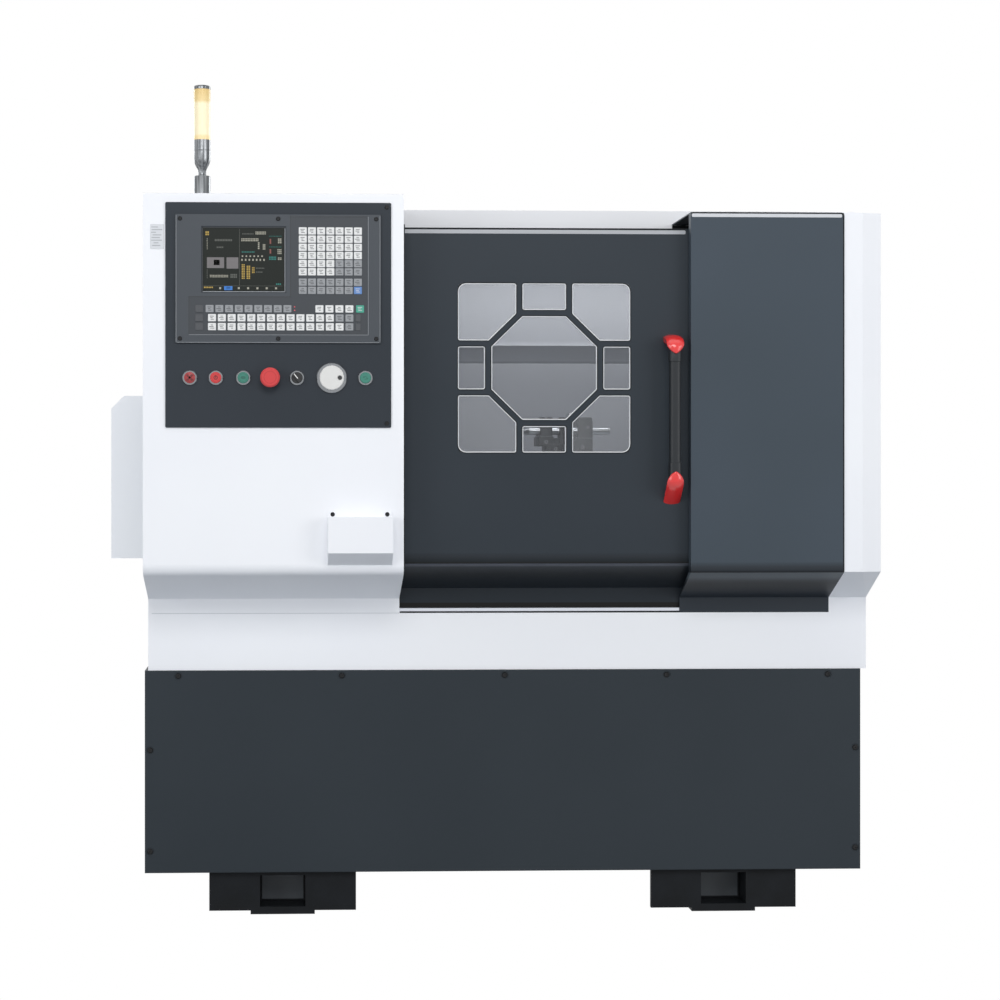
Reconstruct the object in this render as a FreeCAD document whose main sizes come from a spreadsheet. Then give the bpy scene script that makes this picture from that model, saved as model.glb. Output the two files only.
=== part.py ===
import FreeCAD, Part
import math
import os
import re
import Sketcher
from FreeCAD import Rotation, Vector

# Small CNC turning lathe: gang tooling on a cross slide, a fixed control panel on the
# left and one sliding door. Millimetres, +X to the operator's right, +Y to the back,
# +Z up. The origin is on the floor, below the middle of the machine's outer box.

doc = FreeCAD.newDocument("TurningLathe")
dim = doc.addObject("Spreadsheet::Sheet", "Dim")

SIZES = {
    "machine_wide": 1538,         # width across the side panels
    "machine_tall": 1514,         # floor to roof
    "base_deep": 900,             # front cover of the stand to the back panel
    "sheet": 2.5,                 # sheet metal of the enclosure
    "bend": 6,                    # inside radius of the sheet's bends
    "slack": 0.3,                 # gap between pieces that only lie beside each other
    "run_fit": 0.05,              # radial gap of a shaft or pin in its bore
    "foot_wide": 313,             # cast foot's end plate, across
    "foot_tall": 84,              # cast foot, above its pad
    "foot_inset": 20,             # foot ends behind the stand's front and before its back
    "foot_side": 292.5,           # middle of a foot in from the stand's end
    "foot_gate": 97,              # width of the levelling pocket
    "foot_floor": 8,              # metal under the levelling pocket
    "foot_roof": 9,               # metal over the levelling pocket
    "foot_plate": 14,             # end plate's thickness
    "foot_heel": 210,             # foot behind its end plate, across
    "foot_deep": 170,             # foot, front to back
    "foot_pocket": 76,            # depth of the levelling pocket
    "pad_wide": 137,              # resting pad under a foot
    "pad_tall": 8,                # resting pad's height
    "base_wide": 1532,            # stand, across
    "base_shift": 10,             # stand's middle lies left of the enclosure's
    "base_tall": 430,             # stand's height
    "base_wall": 8,               # stand's back and inner plates
    "side_frame": 18,             # stand's side frames
    "base_plate": 14,             # stand's top and bottom plates
    "rib_place": 262,             # stand's inner plates, from its middle
    "cover_thick": 5,             # stand's front cover
    "cover_round": 2,             # rounding of the front cover's edges
    "screw_corner": 71,           # outer screws of the top edge, in from the cover's ends
    "screw_edge": 11.5,           # cover screws in from the edge
    "screw_mid": 169,             # side screws below the cover's top
    "screw_low": 46,              # side screws above the cover's bottom
    "screw_head": 12,             # head diameter
    "screw_bore": 6,              # shank diameter
    "screw_dome": 3.3,            # head height
    "screw_long": 16,             # shank length
    "screw_seat": 17,             # ring pressed round a cover screw
    "seat_deep": 1.5,             # depth of that ring
    "tray_tall": 121,             # white skirt of the coolant tray
    "tray_wall": 4,               # tray's walls and floor
    "cover_reach": 147,           # right cover's front ahead of the tray's skirt
    "housing_reach": 48,          # control housing's front ahead of the right cover
    "door_setback": 33,           # door's face behind the right cover's
    "hood_setback": 250,          # hood's face behind the right cover's
    "housing_wide": 534,          # control housing, across
    "cover_wide": 322,            # right cover, across
    "strip_wide": 81,             # white front strip of the right side panel
    "strip_back": 2,              # white strip's face behind the right cover's
    "corner_wide": 42,            # gentle corner of the right side panel, across
    "corner_deep": 15,            # the same, front to back
    "apron_drop": 32,             # slopes end this far above the tray's skirt
    "bend_rise": 60,              # height of the slopes
    "housing_round": 26,          # radius of the control housing's lower bend
    "sharp_round": 3,             # radius of the other outer bends
    "cover_drop": 29,             # right cover's top below the roof
    "door_drop": 60,              # door's top below the roof
    "door_lift": 11,              # door's lower edge above the tray's skirt
    "door_slope_low": 21,         # door's slope starts above the apron's end
    "door_slope_high": 16,        # door's bend above the other bends
    "door_lap": 26,               # door's edge inside the right cover
    "door_behind": 30,            # door's edge inside the control housing
    "door_chamfer": 8,            # light bevel along the door's top
    "door_pan": 40,               # depth of the door's side and top flanges
    "apron_pan": 20,              # the same at its apron
    "apron_back": 8,              # door's apron behind the tray's skirt
    "cover_bevel": 6,             # light bevel along the cover's top
    "cover_flange": 28,           # right cover's return towards the door
    "panel_rim": 14,              # housing's rim behind the control plate
    "pane_octagon": 222,          # middle pane, flat to flat
    "pane_middle": 92,            # the four slim panes, along the field's edge
    "pane_slim": 57,              # the same, in from the field's edge
    "pane_size": 362,             # the nine panes' field, across
    "pane_high": 354,             # the same, upright
    "pane_gap": 12.5,             # bar between two panes
    "pane_round": 4.5,            # corner radius of the panes
    "pane_corner": 10,            # corner radius of the field
    "pane_thick": 5,              # polycarbonate sheet
    "pane_lap": 14,               # pane's edge beyond the field
    "pane_right": 122,            # field's right edge in from the door's visible edge
    "pane_drop": 116,             # field's top below the door's top
    "handle_drop": 222,           # handle's top end below the door's top
    "handle_tall": 358,           # handle, end to end
    "handle_wide": 24,            # handle bar, across
    "handle_deep": 22,            # handle bar, front to back
    "bar_back": 1,                # the handle bar's front behind its legs' front
    "handle_off": 58,             # handle's front ahead of the door's face
    "handle_right": 35,           # handle's axis in from the door's visible edge
    "cap_tall": 41,               # upper red cap
    "cap_low_tall": 68,           # lower red cap
    "cap_wall": 4.5,              # caps' wall
    "cap_nose": 15,               # caps' front corner
    "cap_root": 30,               # handle's ends at the door, upright
    "cap_wide": 38,               # caps, across
    "cap_shoulder": 22,           # caps start to narrow this far before their tips
    "cap_round": 8,               # rounding of the caps' outline
    "leg_wide": 26,               # handle's ends, across
    "leg_deep": 24,               # handle's ends along the bar
    "leg_tall": 60,               # upper end's length along the bar
    "leg_low_tall": 90,           # the same, lower end
    "leg_round": 3,               # rounding of the handle's ends
    "rail_tall": 22,              # door's top rail
    "rail_deep": 30,              # the same, front to back
    "belt_room": 16,              # side opening round the pulleys
    "vent_place": 300,            # cooling slots either side of the middle
    "vent_wide": 120,             # cooling slot
    "vent_tall": 8,               # cooling slot
    "vent_pitch": 24,             # between slots
    "vent_drop": 120,             # upper slots below the roof
    "guard_front": 128,           # belt guard's front ahead of the spindle axis
    "door_pass": 12,              # housing's return ends this far before the door
    "header_drop": 110,           # hood's front face, from the roof down
    "hood_lip": 24,               # hood's flanges
    "plate_gauge": 6,             # door's top plate
    "plate_in": 12,               # top plate in from the door's ends
    "sill_tall": 10,              # aluminium sill rail
    "sill_deep": 24,              # the same, front to back
    "sill_lip": 3,                # sill rail's lips and floor
    "guard_reach": 90,            # belt guard beyond the left side panel
    "guard_deep": 505,            # belt guard, front to back
    "guard_low": 112,             # belt guard's bottom above the tray's skirt
    "guard_tall": 356,            # belt guard's height
    "guard_chamfer": 28,          # its upper edge
    "bar_hole": 30,               # hole for bar stock in the guard
    "axis_high": 515,             # spindle axis above the stand's top
    "axis_back": 295,             # spindle axis behind the tray's skirt
    "bed_rise": 234,              # bed's height on the tray's floor
    "bed_wide": 1010,             # bed, along the spindle
    "bed_deep": 300,              # bed, front to back
    "bed_foot": 40,               # its foot flange
    "bed_web": 26,                # bed's walls and top
    "trough_wide": 76,            # channel for the long screw
    "trough_deep": 44,            # the same
    "bed_left": 180,              # bed's left end in from the side panel
    "way_pitch": 210,             # between the two rails
    "way_wide": 23,               # rail
    "way_tall": 20,               # rail's height
    "way_long": 640,              # rail's length
    "way_end": 20,                # rails' ends in from the bed's right end
    "block_tall": 30,             # carriage block over the bed
    "block_wide": 48,             # carriage block, across its rail
    "block_long": 74,             # carriage block, along its rail
    "block_lift": 6,              # carriage blocks clear of the bed
    "saddle_long": 300,           # saddle, along the spindle
    "saddle_deep": 440,           # saddle, front to back
    "saddle_tall": 48,            # saddle's plate
    "tail_wide": 130,             # dovetail under the cross slide
    "tail_tall": 14,              # its height
    "tail_slope": 9,              # dovetail's undercut
    "slide_long": 260,            # cross slide, along the spindle
    "slide_mid": 145,             # cross slide's middle right of the enclosure's middle
    "boring_in": 50,              # boring block's left side from the slide's middle
    "slide_deep": 300,            # cross slide, front to back
    "slide_tall": 50,             # cross slide's plate
    "slot_pitch": 60,             # between T-slots
    "slot_neck": 12,              # T-slot's neck
    "slot_foot": 20,              # T-slot's wide part
    "slot_deep": 18,              # T-slot's depth
    "screw_round": 12.5,          # long ball screw's radius
    "screw_over_bed": 8,          # long screw's axis over the bed
    "nut_wide": 56,               # nut housing on the long screw
    "nut_low": 28,                # nut housing below the screw's axis
    "nut_long": 90,               # both nut housings, along their screws
    "pedestal_long": 22,          # screw bearings, along the screws
    "cross_round": 8,             # cross ball screw's radius
    "cross_stand": 24,            # rear servo's stand behind the saddle
    "cross_trough": 30,           # channel for the cross screw
    "servo_square": 80,           # servo motor's flange
    "servo_long": 130,            # servo motor's length
    "servo_stand": 26,            # long servo's stand beyond the bed
    "servo_step": 6,              # servo's case inside its flange
    "servo_shaft": 9.5,           # servo shaft's radius
    "head_wide": 310,             # headstock, along the spindle
    "head_deep": 230,             # headstock, front to back
    "head_left": 210,             # headstock's left end in from the side panel
    "head_top": 120,              # headstock's top above the spindle axis
    "head_chamfer": 45,           # its upper edges
    "spindle_round": 42,          # spindle in its bearings
    "spindle_tail": 28,           # spindle beyond the headstock's left side
    "spindle_stub": 10,           # spindle's end beyond its pulley
    "spindle_bore": 20,           # bar hole through the spindle
    "nose_round": 58,             # spindle nose flange
    "nose_thick": 14,             # the same, along the axis
    "chuck_round": 82,            # three-jaw chuck
    "chuck_long": 78,             # chuck's body
    "jaw_wide": 26,               # jaw across
    "jaw_tall": 46,               # jaw's radial length
    "jaw_long": 42,               # jaw's step ahead of the chuck
    "jaw_key": 14,                # jaw's key in the chuck's slot
    "jaw_fit": 0.1,               # side play of the jaws' keys
    "jaw_open": 27,               # jaw's inner face from the axis
    "pulley_round": 62,           # spindle pulley
    "motor_pulley_round": 40,     # motor pulley
    "pulley_wide": 46,            # both pulleys' width
    "pulley_gap": 14,             # pulleys' inner faces beyond the side panel
    "belt_wide": 38,              # belt
    "belt_thick": 6,              # belt
    "groove_deep": 3,             # belt's run below the pulley's flanges
    "motor_back": 275,            # motor axis behind the spindle axis
    "motor_down": 185,            # motor axis below the spindle axis
    "motor_round": 80,            # motor's body
    "motor_long": 290,            # motor's length
    "motor_in": 60,               # motor's end in from the side panel
    "motor_rib": 6,               # cooling ribs
    "motor_shaft": 14,            # motor shaft's radius
    "boring_wide": 56,            # boring block, along the spindle
    "boring_deep": 110,           # boring block, front to back
    "boring_top": 16,             # boring block's top above the axis
    "boring_gap": 34,             # between the two blocks
    "sleeve_wide": 32,            # sleeve block, along the spindle
    "sleeve_top": 30,             # sleeve block's top above the axis
    "tool_round": 8,              # round tool bars
    "tool_pitch": 36,             # between bars, front to back
    "tool_left": 34,              # bars beyond the boring block
    "tool_right": 34,             # bars beyond the sleeve block
    "hose_round": 7,              # coolant hose
    "hose_back": 14,              # hose behind the blocks
    "hose_high": 8,               # hose's bend above the axis
    "hose_turn": 30,              # bend's radius
    "liner_back": 560,            # chamber's back wall behind the tray's skirt
    "liner_hole": 92,             # hole for the spindle nose
    "liner_head": 34,             # chamber's left wall beyond the headstock
    "liner_in": 20,               # chamber's right wall in from the right cover's end
    "liner_low": 155,             # chamber's lower edge over the bed
    "liner_front": 44,            # chamber's front edge behind the tray's skirt
    "ledge_out": 80,              # upper back wall ahead of the lower one
    "ledge_drop": 164,            # upper back wall's height
    "ledge_slope": 38,            # height of the slope under it
    "plate_wide": 462,            # control plate
    "plate_tall": 461,            # control plate
    "plate_left": 46,             # its edge in from the housing's
    "plate_drop": 19,             # its top below the roof
    "plate_thick": 3,             # control plate
    "panel_edge": 9,              # screws in from the plate's and frame's edges
    "panel_head": 9,              # head diameter
    "panel_shank": 4,             # shank diameter
    "panel_shank_long": 8,        # shank length
    "panel_dome": 2.4,            # head height
    "frame_wide": 419,            # controller frame
    "frame_tall": 263,            # controller frame
    "frame_left": 21,             # its edge in from the plate's
    "frame_drop": 25,             # its top below the plate's
    "frame_out": 5,               # its face ahead of the plate
    "frame_in": 52,               # its case behind the plate
    "frame_step": 14,             # case inside the face frame
    "screen_wide": 166,           # screen glass
    "screen_tall": 129,           # screen glass
    "screen_left": 56,            # from the frame's left edge
    "screen_drop": 28,            # from the frame's top edge
    "screen_deep": 5,             # glass below the frame's face
    "screen_thick": 3,            # glass
    "screen_lip": 4,              # flare round the screen
    "key_deep": 1.2,              # film's recess in the frame
    "key_thick": 1,               # key film
    "key_edge": 12,               # key film beside and below the screen
    "key_side": 27,               # key film in from the frame's sides
    "key_top": 5,                 # key film below the frame's top
    "key_low": 16,                # key film above the frame's foot
    "button_row": 102,            # buttons above the plate's lower edge
    "button_bore": 11,            # hole for a button's barrel
    "button_ring": 15,            # bezel
    "ring_out": 5,                # bezel ahead of the plate
    "button_cap": 11.5,           # button's cap
    "button_out": 9,              # cap ahead of the plate
    "button_in": 34,              # barrel behind the plate
    "button_travel": 3,           # push stroke
    "button_step": 3,             # plunger under the cap
    "button_fit": 0.1,            # play of caps and stems in their bezels
    "button_edge": 1.5,           # bevel round the caps
    "ring_floor": 1,              # bezel's inner step ahead of the plate
    "stop_head": 20,              # emergency stop's head
    "stop_out": 30,               # its face ahead of the plate
    "stop_neck": 8,               # its stem
    "stop_travel": 4,             # its push stroke
    "stop_crown": 6,              # thickness over the stem
    "stop_skirt": 9,              # head below its crown
    "lamp_place": 50,             # red lamp from the plate's left edge
    "grip_wide": 7,               # selector's grip
    "grip_tall": 7,               # the same, ahead of the cap
    "red_place": 103,             # red button
    "green_place": 159,           # green button
    "stop_place": 214,            # emergency stop
    "select_place": 269,          # selector
    "wheel_place": 340,           # handwheel
    "cycle_place": 409,           # second green button
    "wheel_ring": 31,             # handwheel's fixed ring
    "wheel_round": 25,            # handwheel's disc
    "wheel_out": 12,              # disc ahead of the plate
    "wheel_shaft": 5,             # handwheel's shaft
    "dimple_round": 6,            # finger dimple
    "port_wide": 132,             # port cover
    "port_tall": 99,              # port cover
    "port_front": 73,             # port cover's upright face
    "port_reach": 45,             # port cover ahead of the housing
    "port_right": 24,             # its edge in from the housing's right edge
    "port_lift": 17,              # its lower edge above the housing's bend
    "port_flange": 11,            # port cover's flange above it
    "port_screw": 10,             # its screws in from its sides
    "lamp_left": 97,              # signal lamp's axis in from the left side panel
    "lamp_back": 649,             # signal lamp's axis behind the right cover's face
    "lamp_round": 20,             # signal lamp
    "lamp_stem": 10.5,            # its stem
    "lamp_foot": 24,              # its foot
    "foot_high": 20,              # its foot
    "socket_high": 84,            # thicker lower stem
    "stem_high": 155,             # stem's top above the roof
    "taper_high": 20,             # taper under the lens
    "holder_high": 23,            # lens holder above the taper
    "lens_tall": 125,             # lens
    "cap_high": 9,                # cap
}

for row, (word, value) in enumerate(SIZES.items(), start=1):
    dim.set(f"A{row}", word.replace("_", " "))
    dim.set(f"B{row}", str(value))
    dim.setAlias(f"B{row}", word)
doc.recompute()


def bound(text):
    """The expression with each size's name led to its cell."""
    return re.sub(r"[a-z_]+", lambda m: "Dim." + m[0] if m[0] in SIZES else m[0], text)


def size(text):
    """The expression's present value, in millimetres."""
    value = dim.evalExpression(bound(text))
    return float(getattr(value, "Value", value))


# Places across the machine.
LEFT = "((guard_reach - machine_wide) / 2)"
RIGHT = "((guard_reach + machine_wide) / 2)"
BASE_MID = "(guard_reach / 2 - base_shift)"
DOOR_LEFT = f"({LEFT} + housing_wide)"
COVER_LEFT = f"({RIGHT} - strip_wide - cover_wide)"
COVER_RIGHT = f"({RIGHT} - strip_wide)"

# Places front to back. The port cover reaches furthest forward.
REACH = "(base_deep - cover_thick + cover_reach + housing_reach + port_reach)"
BACK = f"({REACH} / 2)"
FRONT = f"({BACK} - base_deep)"
SKIRT = f"({FRONT} + cover_thick)"
COVER = f"({SKIRT} - cover_reach)"
HOUSING = f"({COVER} - housing_reach)"
DOOR = f"({COVER} + door_setback)"
HOOD = f"({COVER} + hood_setback)"
PLATE = f"({HOUSING} - plate_thick)"

# Levels.
FOOT_TOP = "(pad_tall + foot_tall)"
BASE_TOP = f"({FOOT_TOP} + base_tall)"
SKIRT_TOP = f"({BASE_TOP} + tray_tall)"
SLOPE_LOW = f"({SKIRT_TOP} + apron_drop)"
BEND = f"({SLOPE_LOW} + bend_rise)"
ROOF = "machine_tall"
COVER_TOP = "(machine_tall - cover_drop)"
DOOR_TOP = "(machine_tall - door_drop)"
DOOR_LOW = f"({SKIRT_TOP} + door_lift)"
TRAY_FLOOR = f"({BASE_TOP} + tray_wall)"
BED_TOP = f"({TRAY_FLOOR} + bed_rise)"
AXIS_Z = f"({BASE_TOP} + axis_high)"
AXIS_Y = f"({SKIRT} + axis_back)"

PARTS = []


def keep(item, label):
    """Mark a finished piece: its label names its file."""
    item.Label = label
    PARTS.append(item)
    return item


def box(name, x, y, z):
    """A block between pairs of places along each axis."""
    block = doc.addObject("Part::Box", name)
    for side, letter, (low, high) in zip(("Length", "Width", "Height"), "xyz", (x, y, z)):
        block.setExpression(side, bound(f"({high}) - ({low})"))
        block.setExpression(f"Placement.Base.{letter}", bound(low))
    return block


TURNS = {
    "x": Rotation(Vector(0, 1, 0), 90),
    "y": Rotation(Vector(1, 0, 0), -90),
    "z": Rotation(),
}


def place(item, x, y, z, turn=None):
    """Bind a placement to three expressions."""
    if turn is not None:
        item.Placement.Rotation = turn
    for letter, text in zip("xyz", (x, y, z)):
        item.setExpression(f"Placement.Base.{letter}", bound(text))
    return item


def rod(name, along, radius, length, x, y, z):
    """A round bar that starts at a point and runs along an axis."""
    bar = doc.addObject("Part::Cylinder", name)
    bar.setExpression("Radius", bound(radius))
    bar.setExpression("Height", bound(length))
    return place(bar, x, y, z, TURNS[along])


def fuse(name, pieces):
    """One solid, or a group, from several."""
    joined = doc.addObject("Part::MultiFuse", name)
    joined.Shapes = pieces
    joined.Refine = True
    return joined


def cut(name, base, tools):
    """The base less its tools."""
    result = doc.addObject("Part::Cut", name)
    result.Base = base
    result.Tool = tools[0] if len(tools) == 1 else fuse(f"{name}_tools", tools)
    result.Refine = True
    return result


def common(name, pieces):
    """What several solids share."""
    shared = doc.addObject("Part::MultiCommon", name)
    shared.Shapes = pieces
    return shared


def group(name, pieces):
    """Separate solids that share one node."""
    together = doc.addObject("Part::Compound", name)
    together.Links = pieces
    return together


def origin_plane(body, role):
    return [plane for plane in body.Origin.OriginFeatures if plane.Role == role][0]


def draw(sketch, points, circles=()):
    """A closed outline whose corners are bound to sizes, and round holes in it."""
    corners = [Vector(size(a), size(b), 0) for a, b in points]
    first = sketch.GeometryCount
    count = len(points)
    for i in range(count):
        sketch.addGeometry(Part.LineSegment(corners[i], corners[(i + 1) % count]), False)
    for i in range(count):
        after = first + (i + 1) % count
        sketch.addConstraint(Sketcher.Constraint("Coincident", first + i, 2, after, 1))
    for i, (a, b) in enumerate(points):
        pin(sketch, first + i, 1, a, b)
    draw_circles(sketch, circles)


def draw_circles(sketch, circles):
    """Round holes, each a centre and a radius bound to sizes."""
    for a, b, radius in circles:
        centre = Vector(size(a), size(b), 0)
        item = sketch.addGeometry(Part.Circle(centre, Vector(0, 0, 1), size(radius)), False)
        pin(sketch, item, 3, a, b)
        rule = sketch.addConstraint(Sketcher.Constraint("Radius", item, size(radius)))
        sketch.setExpression(f"Constraints[{rule}]", bound(radius))


def pin(sketch, item, point, a, b):
    """Bind one sketch point to two expressions."""
    for kind, text in (("DistanceX", a), ("DistanceY", b)):
        rule = sketch.addConstraint(
            Sketcher.Constraint(kind, -1, 1, item, point, size(text)))
        sketch.setExpression(f"Constraints[{rule}]", bound(text))


def new_sketch(body, role, points, circles=(), more=()):
    sketch = body.newObject("Sketcher::SketchObject", "Outline")
    sketch.AttachmentSupport = [(origin_plane(body, role), "")]
    sketch.MapMode = "FlatFace"
    draw(sketch, points, circles)
    for outline in more:
        draw(sketch, outline)
    return sketch


def profile(name, role, points, length, circles=(), more=(), at=("0", "0", "0")):
    """A body padded from an outline: YZ runs to +X, XZ to +Y, XY to +Z."""
    body = doc.addObject("PartDesign::Body", name)
    sketch = new_sketch(body, role, points, circles, more)
    pad = body.newObject("PartDesign::Pad", "Pad")
    pad.Profile = sketch
    pad.setExpression("Length", bound(length))
    pad.Reversed = role == "XZ_Plane"
    place(body, *at)
    doc.recompute()
    return body


def turned(name, role, points, at, turn=None):
    """A body turned about the sketch's vertical axis, or its level one for XY."""
    body = doc.addObject("PartDesign::Body", name)
    sketch = new_sketch(body, role, points)
    spin = body.newObject("PartDesign::Revolution", "Turn")
    spin.Profile = sketch
    spin.ReferenceAxis = (sketch, ["H_Axis" if role == "XY_Plane" else "V_Axis"])
    spin.Angle = 360
    place(body, *at, turn)
    doc.recompute()
    return body


def edges_where(shape, test):
    return [f"Edge{i}" for i, edge in enumerate(shape.Edges, start=1) if test(edge)]


def faces_where(shape, test):
    return [f"Face{i}" for i, face in enumerate(shape.Faces, start=1) if test(face)]


CLOSE = 0.01


def near(value, text):
    return abs(value - size(text)) < CLOSE


def extends(shape, axis):
    """Whether an edge or a face runs along one axis at all."""
    return getattr(shape.BoundBox, axis + "Length") > CLOSE


def rounded(body, test, radius):
    """Round the edges of the body's tip that pass a test."""
    base = body.Tip
    step = body.newObject("PartDesign::Fillet", "Round")
    step.Base = (base, edges_where(base.Shape, test))
    step.setExpression("Radius", bound(radius))
    doc.recompute()
    return step


def chamfered(body, test, width):
    """Bevel the edges of the body's tip that pass a test."""
    base = body.Tip
    step = body.newObject("PartDesign::Chamfer", "Bevel")
    step.Base = (base, edges_where(base.Shape, test))
    step.setExpression("Size", bound(width))
    doc.recompute()
    return step


def shelled(body, test, wall):
    """Hollow the body's tip inwards and leave out the faces that pass a test."""
    base = body.Tip
    step = body.newObject("PartDesign::Thickness", "Sheet")
    step.Base = (base, faces_where(base.Shape, test))
    step.setExpression("Value", bound(wall))
    step.Reversed = True
    step.Mode = 0
    step.Join = 0
    doc.recompute()
    return step


def rectangle(a, b, c, d):
    """The corners of a rectangle from a to b across and c to d up."""
    return [(a, c), (b, c), (b, d), (a, d)]


# ---------------------------------------------------------------- base

def foot(side, front):
    """A cast levelling foot: end plate, narrower heel with a blind pocket, resting pad."""
    x = f"({BASE_MID} {side} (base_wide / 2 - foot_side))"
    edge, way = (f"({FRONT} + foot_inset)", "+") if front else (f"({BACK} - foot_inset)", "-")

    def block(name, wide, start, end, low, high):
        """A block centred across the foot, from start to end behind its outer face."""
        span = (f"{edge} {way} {start}", f"{edge} {way} {end}")
        return box(name, (f"{x} - {wide} / 2", f"{x} + {wide} / 2"),
                   span if front else span[::-1], (low, high))

    plate = block("FootPlate", "foot_wide", "0", "foot_plate", "pad_tall", FOOT_TOP)
    heel = block("FootHeel", "foot_heel", "0", "foot_deep", "pad_tall", FOOT_TOP)
    pad = block("FootPad", "pad_wide", "0", "foot_deep", "0", "pad_tall")
    pocket = block("FootPocket", "foot_gate", "(-slack)", "foot_pocket",
                   "pad_tall + foot_floor", f"{FOOT_TOP} - foot_roof")
    return cut("FootCut", fuse("FootSolid", [plate, heel, pad]), [pocket])


def feet(label, side):
    """The front and rear foot of one side."""
    return keep(group(label, [foot(side, True), foot(side, False)]), label)


def screw_places():
    """Where the stand's front cover is screwed on: along the top and down both sides."""
    top = f"{BASE_TOP} - screw_edge"
    places = [(f"{BASE_MID} + {i} * (base_wide / 2 - screw_corner)", top)
              for i in (-1, -0.5, 0, 0.5, 1)]
    for side in "-+":
        edge = f"{BASE_MID} {side} (base_wide / 2 - screw_edge)"
        places.append((edge, f"{BASE_TOP} - screw_mid"))
        places.append((edge, f"{FOOT_TOP} + screw_low"))
    return places


def machine_base():
    """A welded stand: an open-fronted box with two inner plates, tapped for its cover."""
    left = f"{BASE_MID} - base_wide / 2"
    right = f"{BASE_MID} + base_wide / 2"
    outer = box("Stand", (left, right), (SKIRT, BACK), (FOOT_TOP, BASE_TOP))
    walls = [(f"{left} + side_frame", f"{BASE_MID} - rib_place"),
             (f"{BASE_MID} - rib_place + base_wall", f"{BASE_MID} + rib_place - base_wall"),
             (f"{BASE_MID} + rib_place", f"{right} - side_frame")]
    tools = [box("Bay", wall, (SKIRT, f"{BACK} - base_wall"),
                 (f"{FOOT_TOP} + base_plate", f"{BASE_TOP} - base_plate")) for wall in walls]
    for x, z in screw_places():
        tools.append(rod("Tapping", "y", "screw_bore / 2 + run_fit", "screw_long", x, SKIRT, z))
    return keep(cut("StandCut", outer, tools), "machine_base")


def base_front_cover():
    """A flat cover over the whole stand, its front edges rounded, each screw in a ring."""
    outline = rectangle("-base_wide / 2", "base_wide / 2", FOOT_TOP, BASE_TOP)
    local = [(x.replace(BASE_MID, "0"), z) for x, z in screw_places()]
    body = profile("FrontCover", "XZ_Plane", outline, "cover_thick",
                   circles=[(x, z, "screw_bore / 2 + slack") for x, z in local],
                   at=(BASE_MID, FRONT, "0"))
    rounded(body, lambda e: e.BoundBox.YMax < CLOSE and e.Length > size("screw_seat") * 4,
            "cover_round")
    rings = [(x, z, "screw_seat / 2") for x, z in local]
    sketch = body.newObject("Sketcher::SketchObject", "Rings")
    sketch.AttachmentSupport = [(origin_plane(body, "XZ_Plane"), "")]
    sketch.MapMode = "FlatFace"
    draw_circles(sketch, rings)
    step = body.newObject("PartDesign::Pocket", "Seats")
    step.Profile = sketch
    step.setExpression("Length", bound("seat_deep"))
    doc.recompute()
    return keep(body, "base_front_cover")


OUTWARD = Rotation(Vector(1, 0, 0), 90)


def dome_screw(name, x, y, z, head, shank, dome, long):
    """A dome-headed socket screw that points to the back, seated at a point."""
    outline = [
        ("0", f"-{long}"), (f"{shank} / 2", f"-{long}"), (f"{shank} / 2", "0"),
        (f"{head} / 2", "0"), (f"{head} / 2", f"{dome} / 3"), (f"{head} / 3", dome),
        (f"{head} / 5", dome), (f"{head} / 5", f"{dome} / 3"), ("0", f"{dome} / 3")]
    return turned(name, "XZ_Plane", outline, (x, y, z), OUTWARD)


def coolant_tray():
    """A deep welded tray; its skirt is the white band between stand and enclosure."""
    outer = box("TrayOuter", (LEFT, RIGHT), (SKIRT, BACK), (BASE_TOP, SKIRT_TOP))
    inner = box("TrayInner", (f"{LEFT} + tray_wall", f"{RIGHT} - tray_wall"),
                (f"{SKIRT} + tray_wall", f"{BACK} - tray_wall"), (TRAY_FLOOR, SKIRT_TOP))
    return keep(cut("Tray", outer, [inner]), "coolant_tray")


# ---------------------------------------------------------------- enclosure

def front_edge(y, z):
    """A test for the long edges that run across the machine at one place and level."""
    return lambda e: (extends(e, "X") and near(e.BoundBox.YMin, y)
                      and near(e.BoundBox.YMax, y) and near(e.BoundBox.ZMin, z)
                      and near(e.BoundBox.ZMax, z))


def open_back(f):
    return not extends(f, "Y") and near(f.BoundBox.YMin, HOOD)


def open_foot(f):
    return not extends(f, "Z") and near(f.BoundBox.ZMin, SKIRT_TOP)


def side_cut(name, front, x, low, high):
    """A tool that opens a side wall behind a return that follows the enclosure's front."""
    apron = f"({SKIRT} + sheet + slack)"
    outline = [(front, high), (front, BEND), (apron, SLOPE_LOW), (apron, low),
               (f"{HOOD} + sheet", low), (f"{HOOD} + sheet", high)]
    return profile(name, "YZ_Plane", outline, "sheet * 3", at=(f"{x} - sheet * 1.5", "0", "0"))


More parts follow.
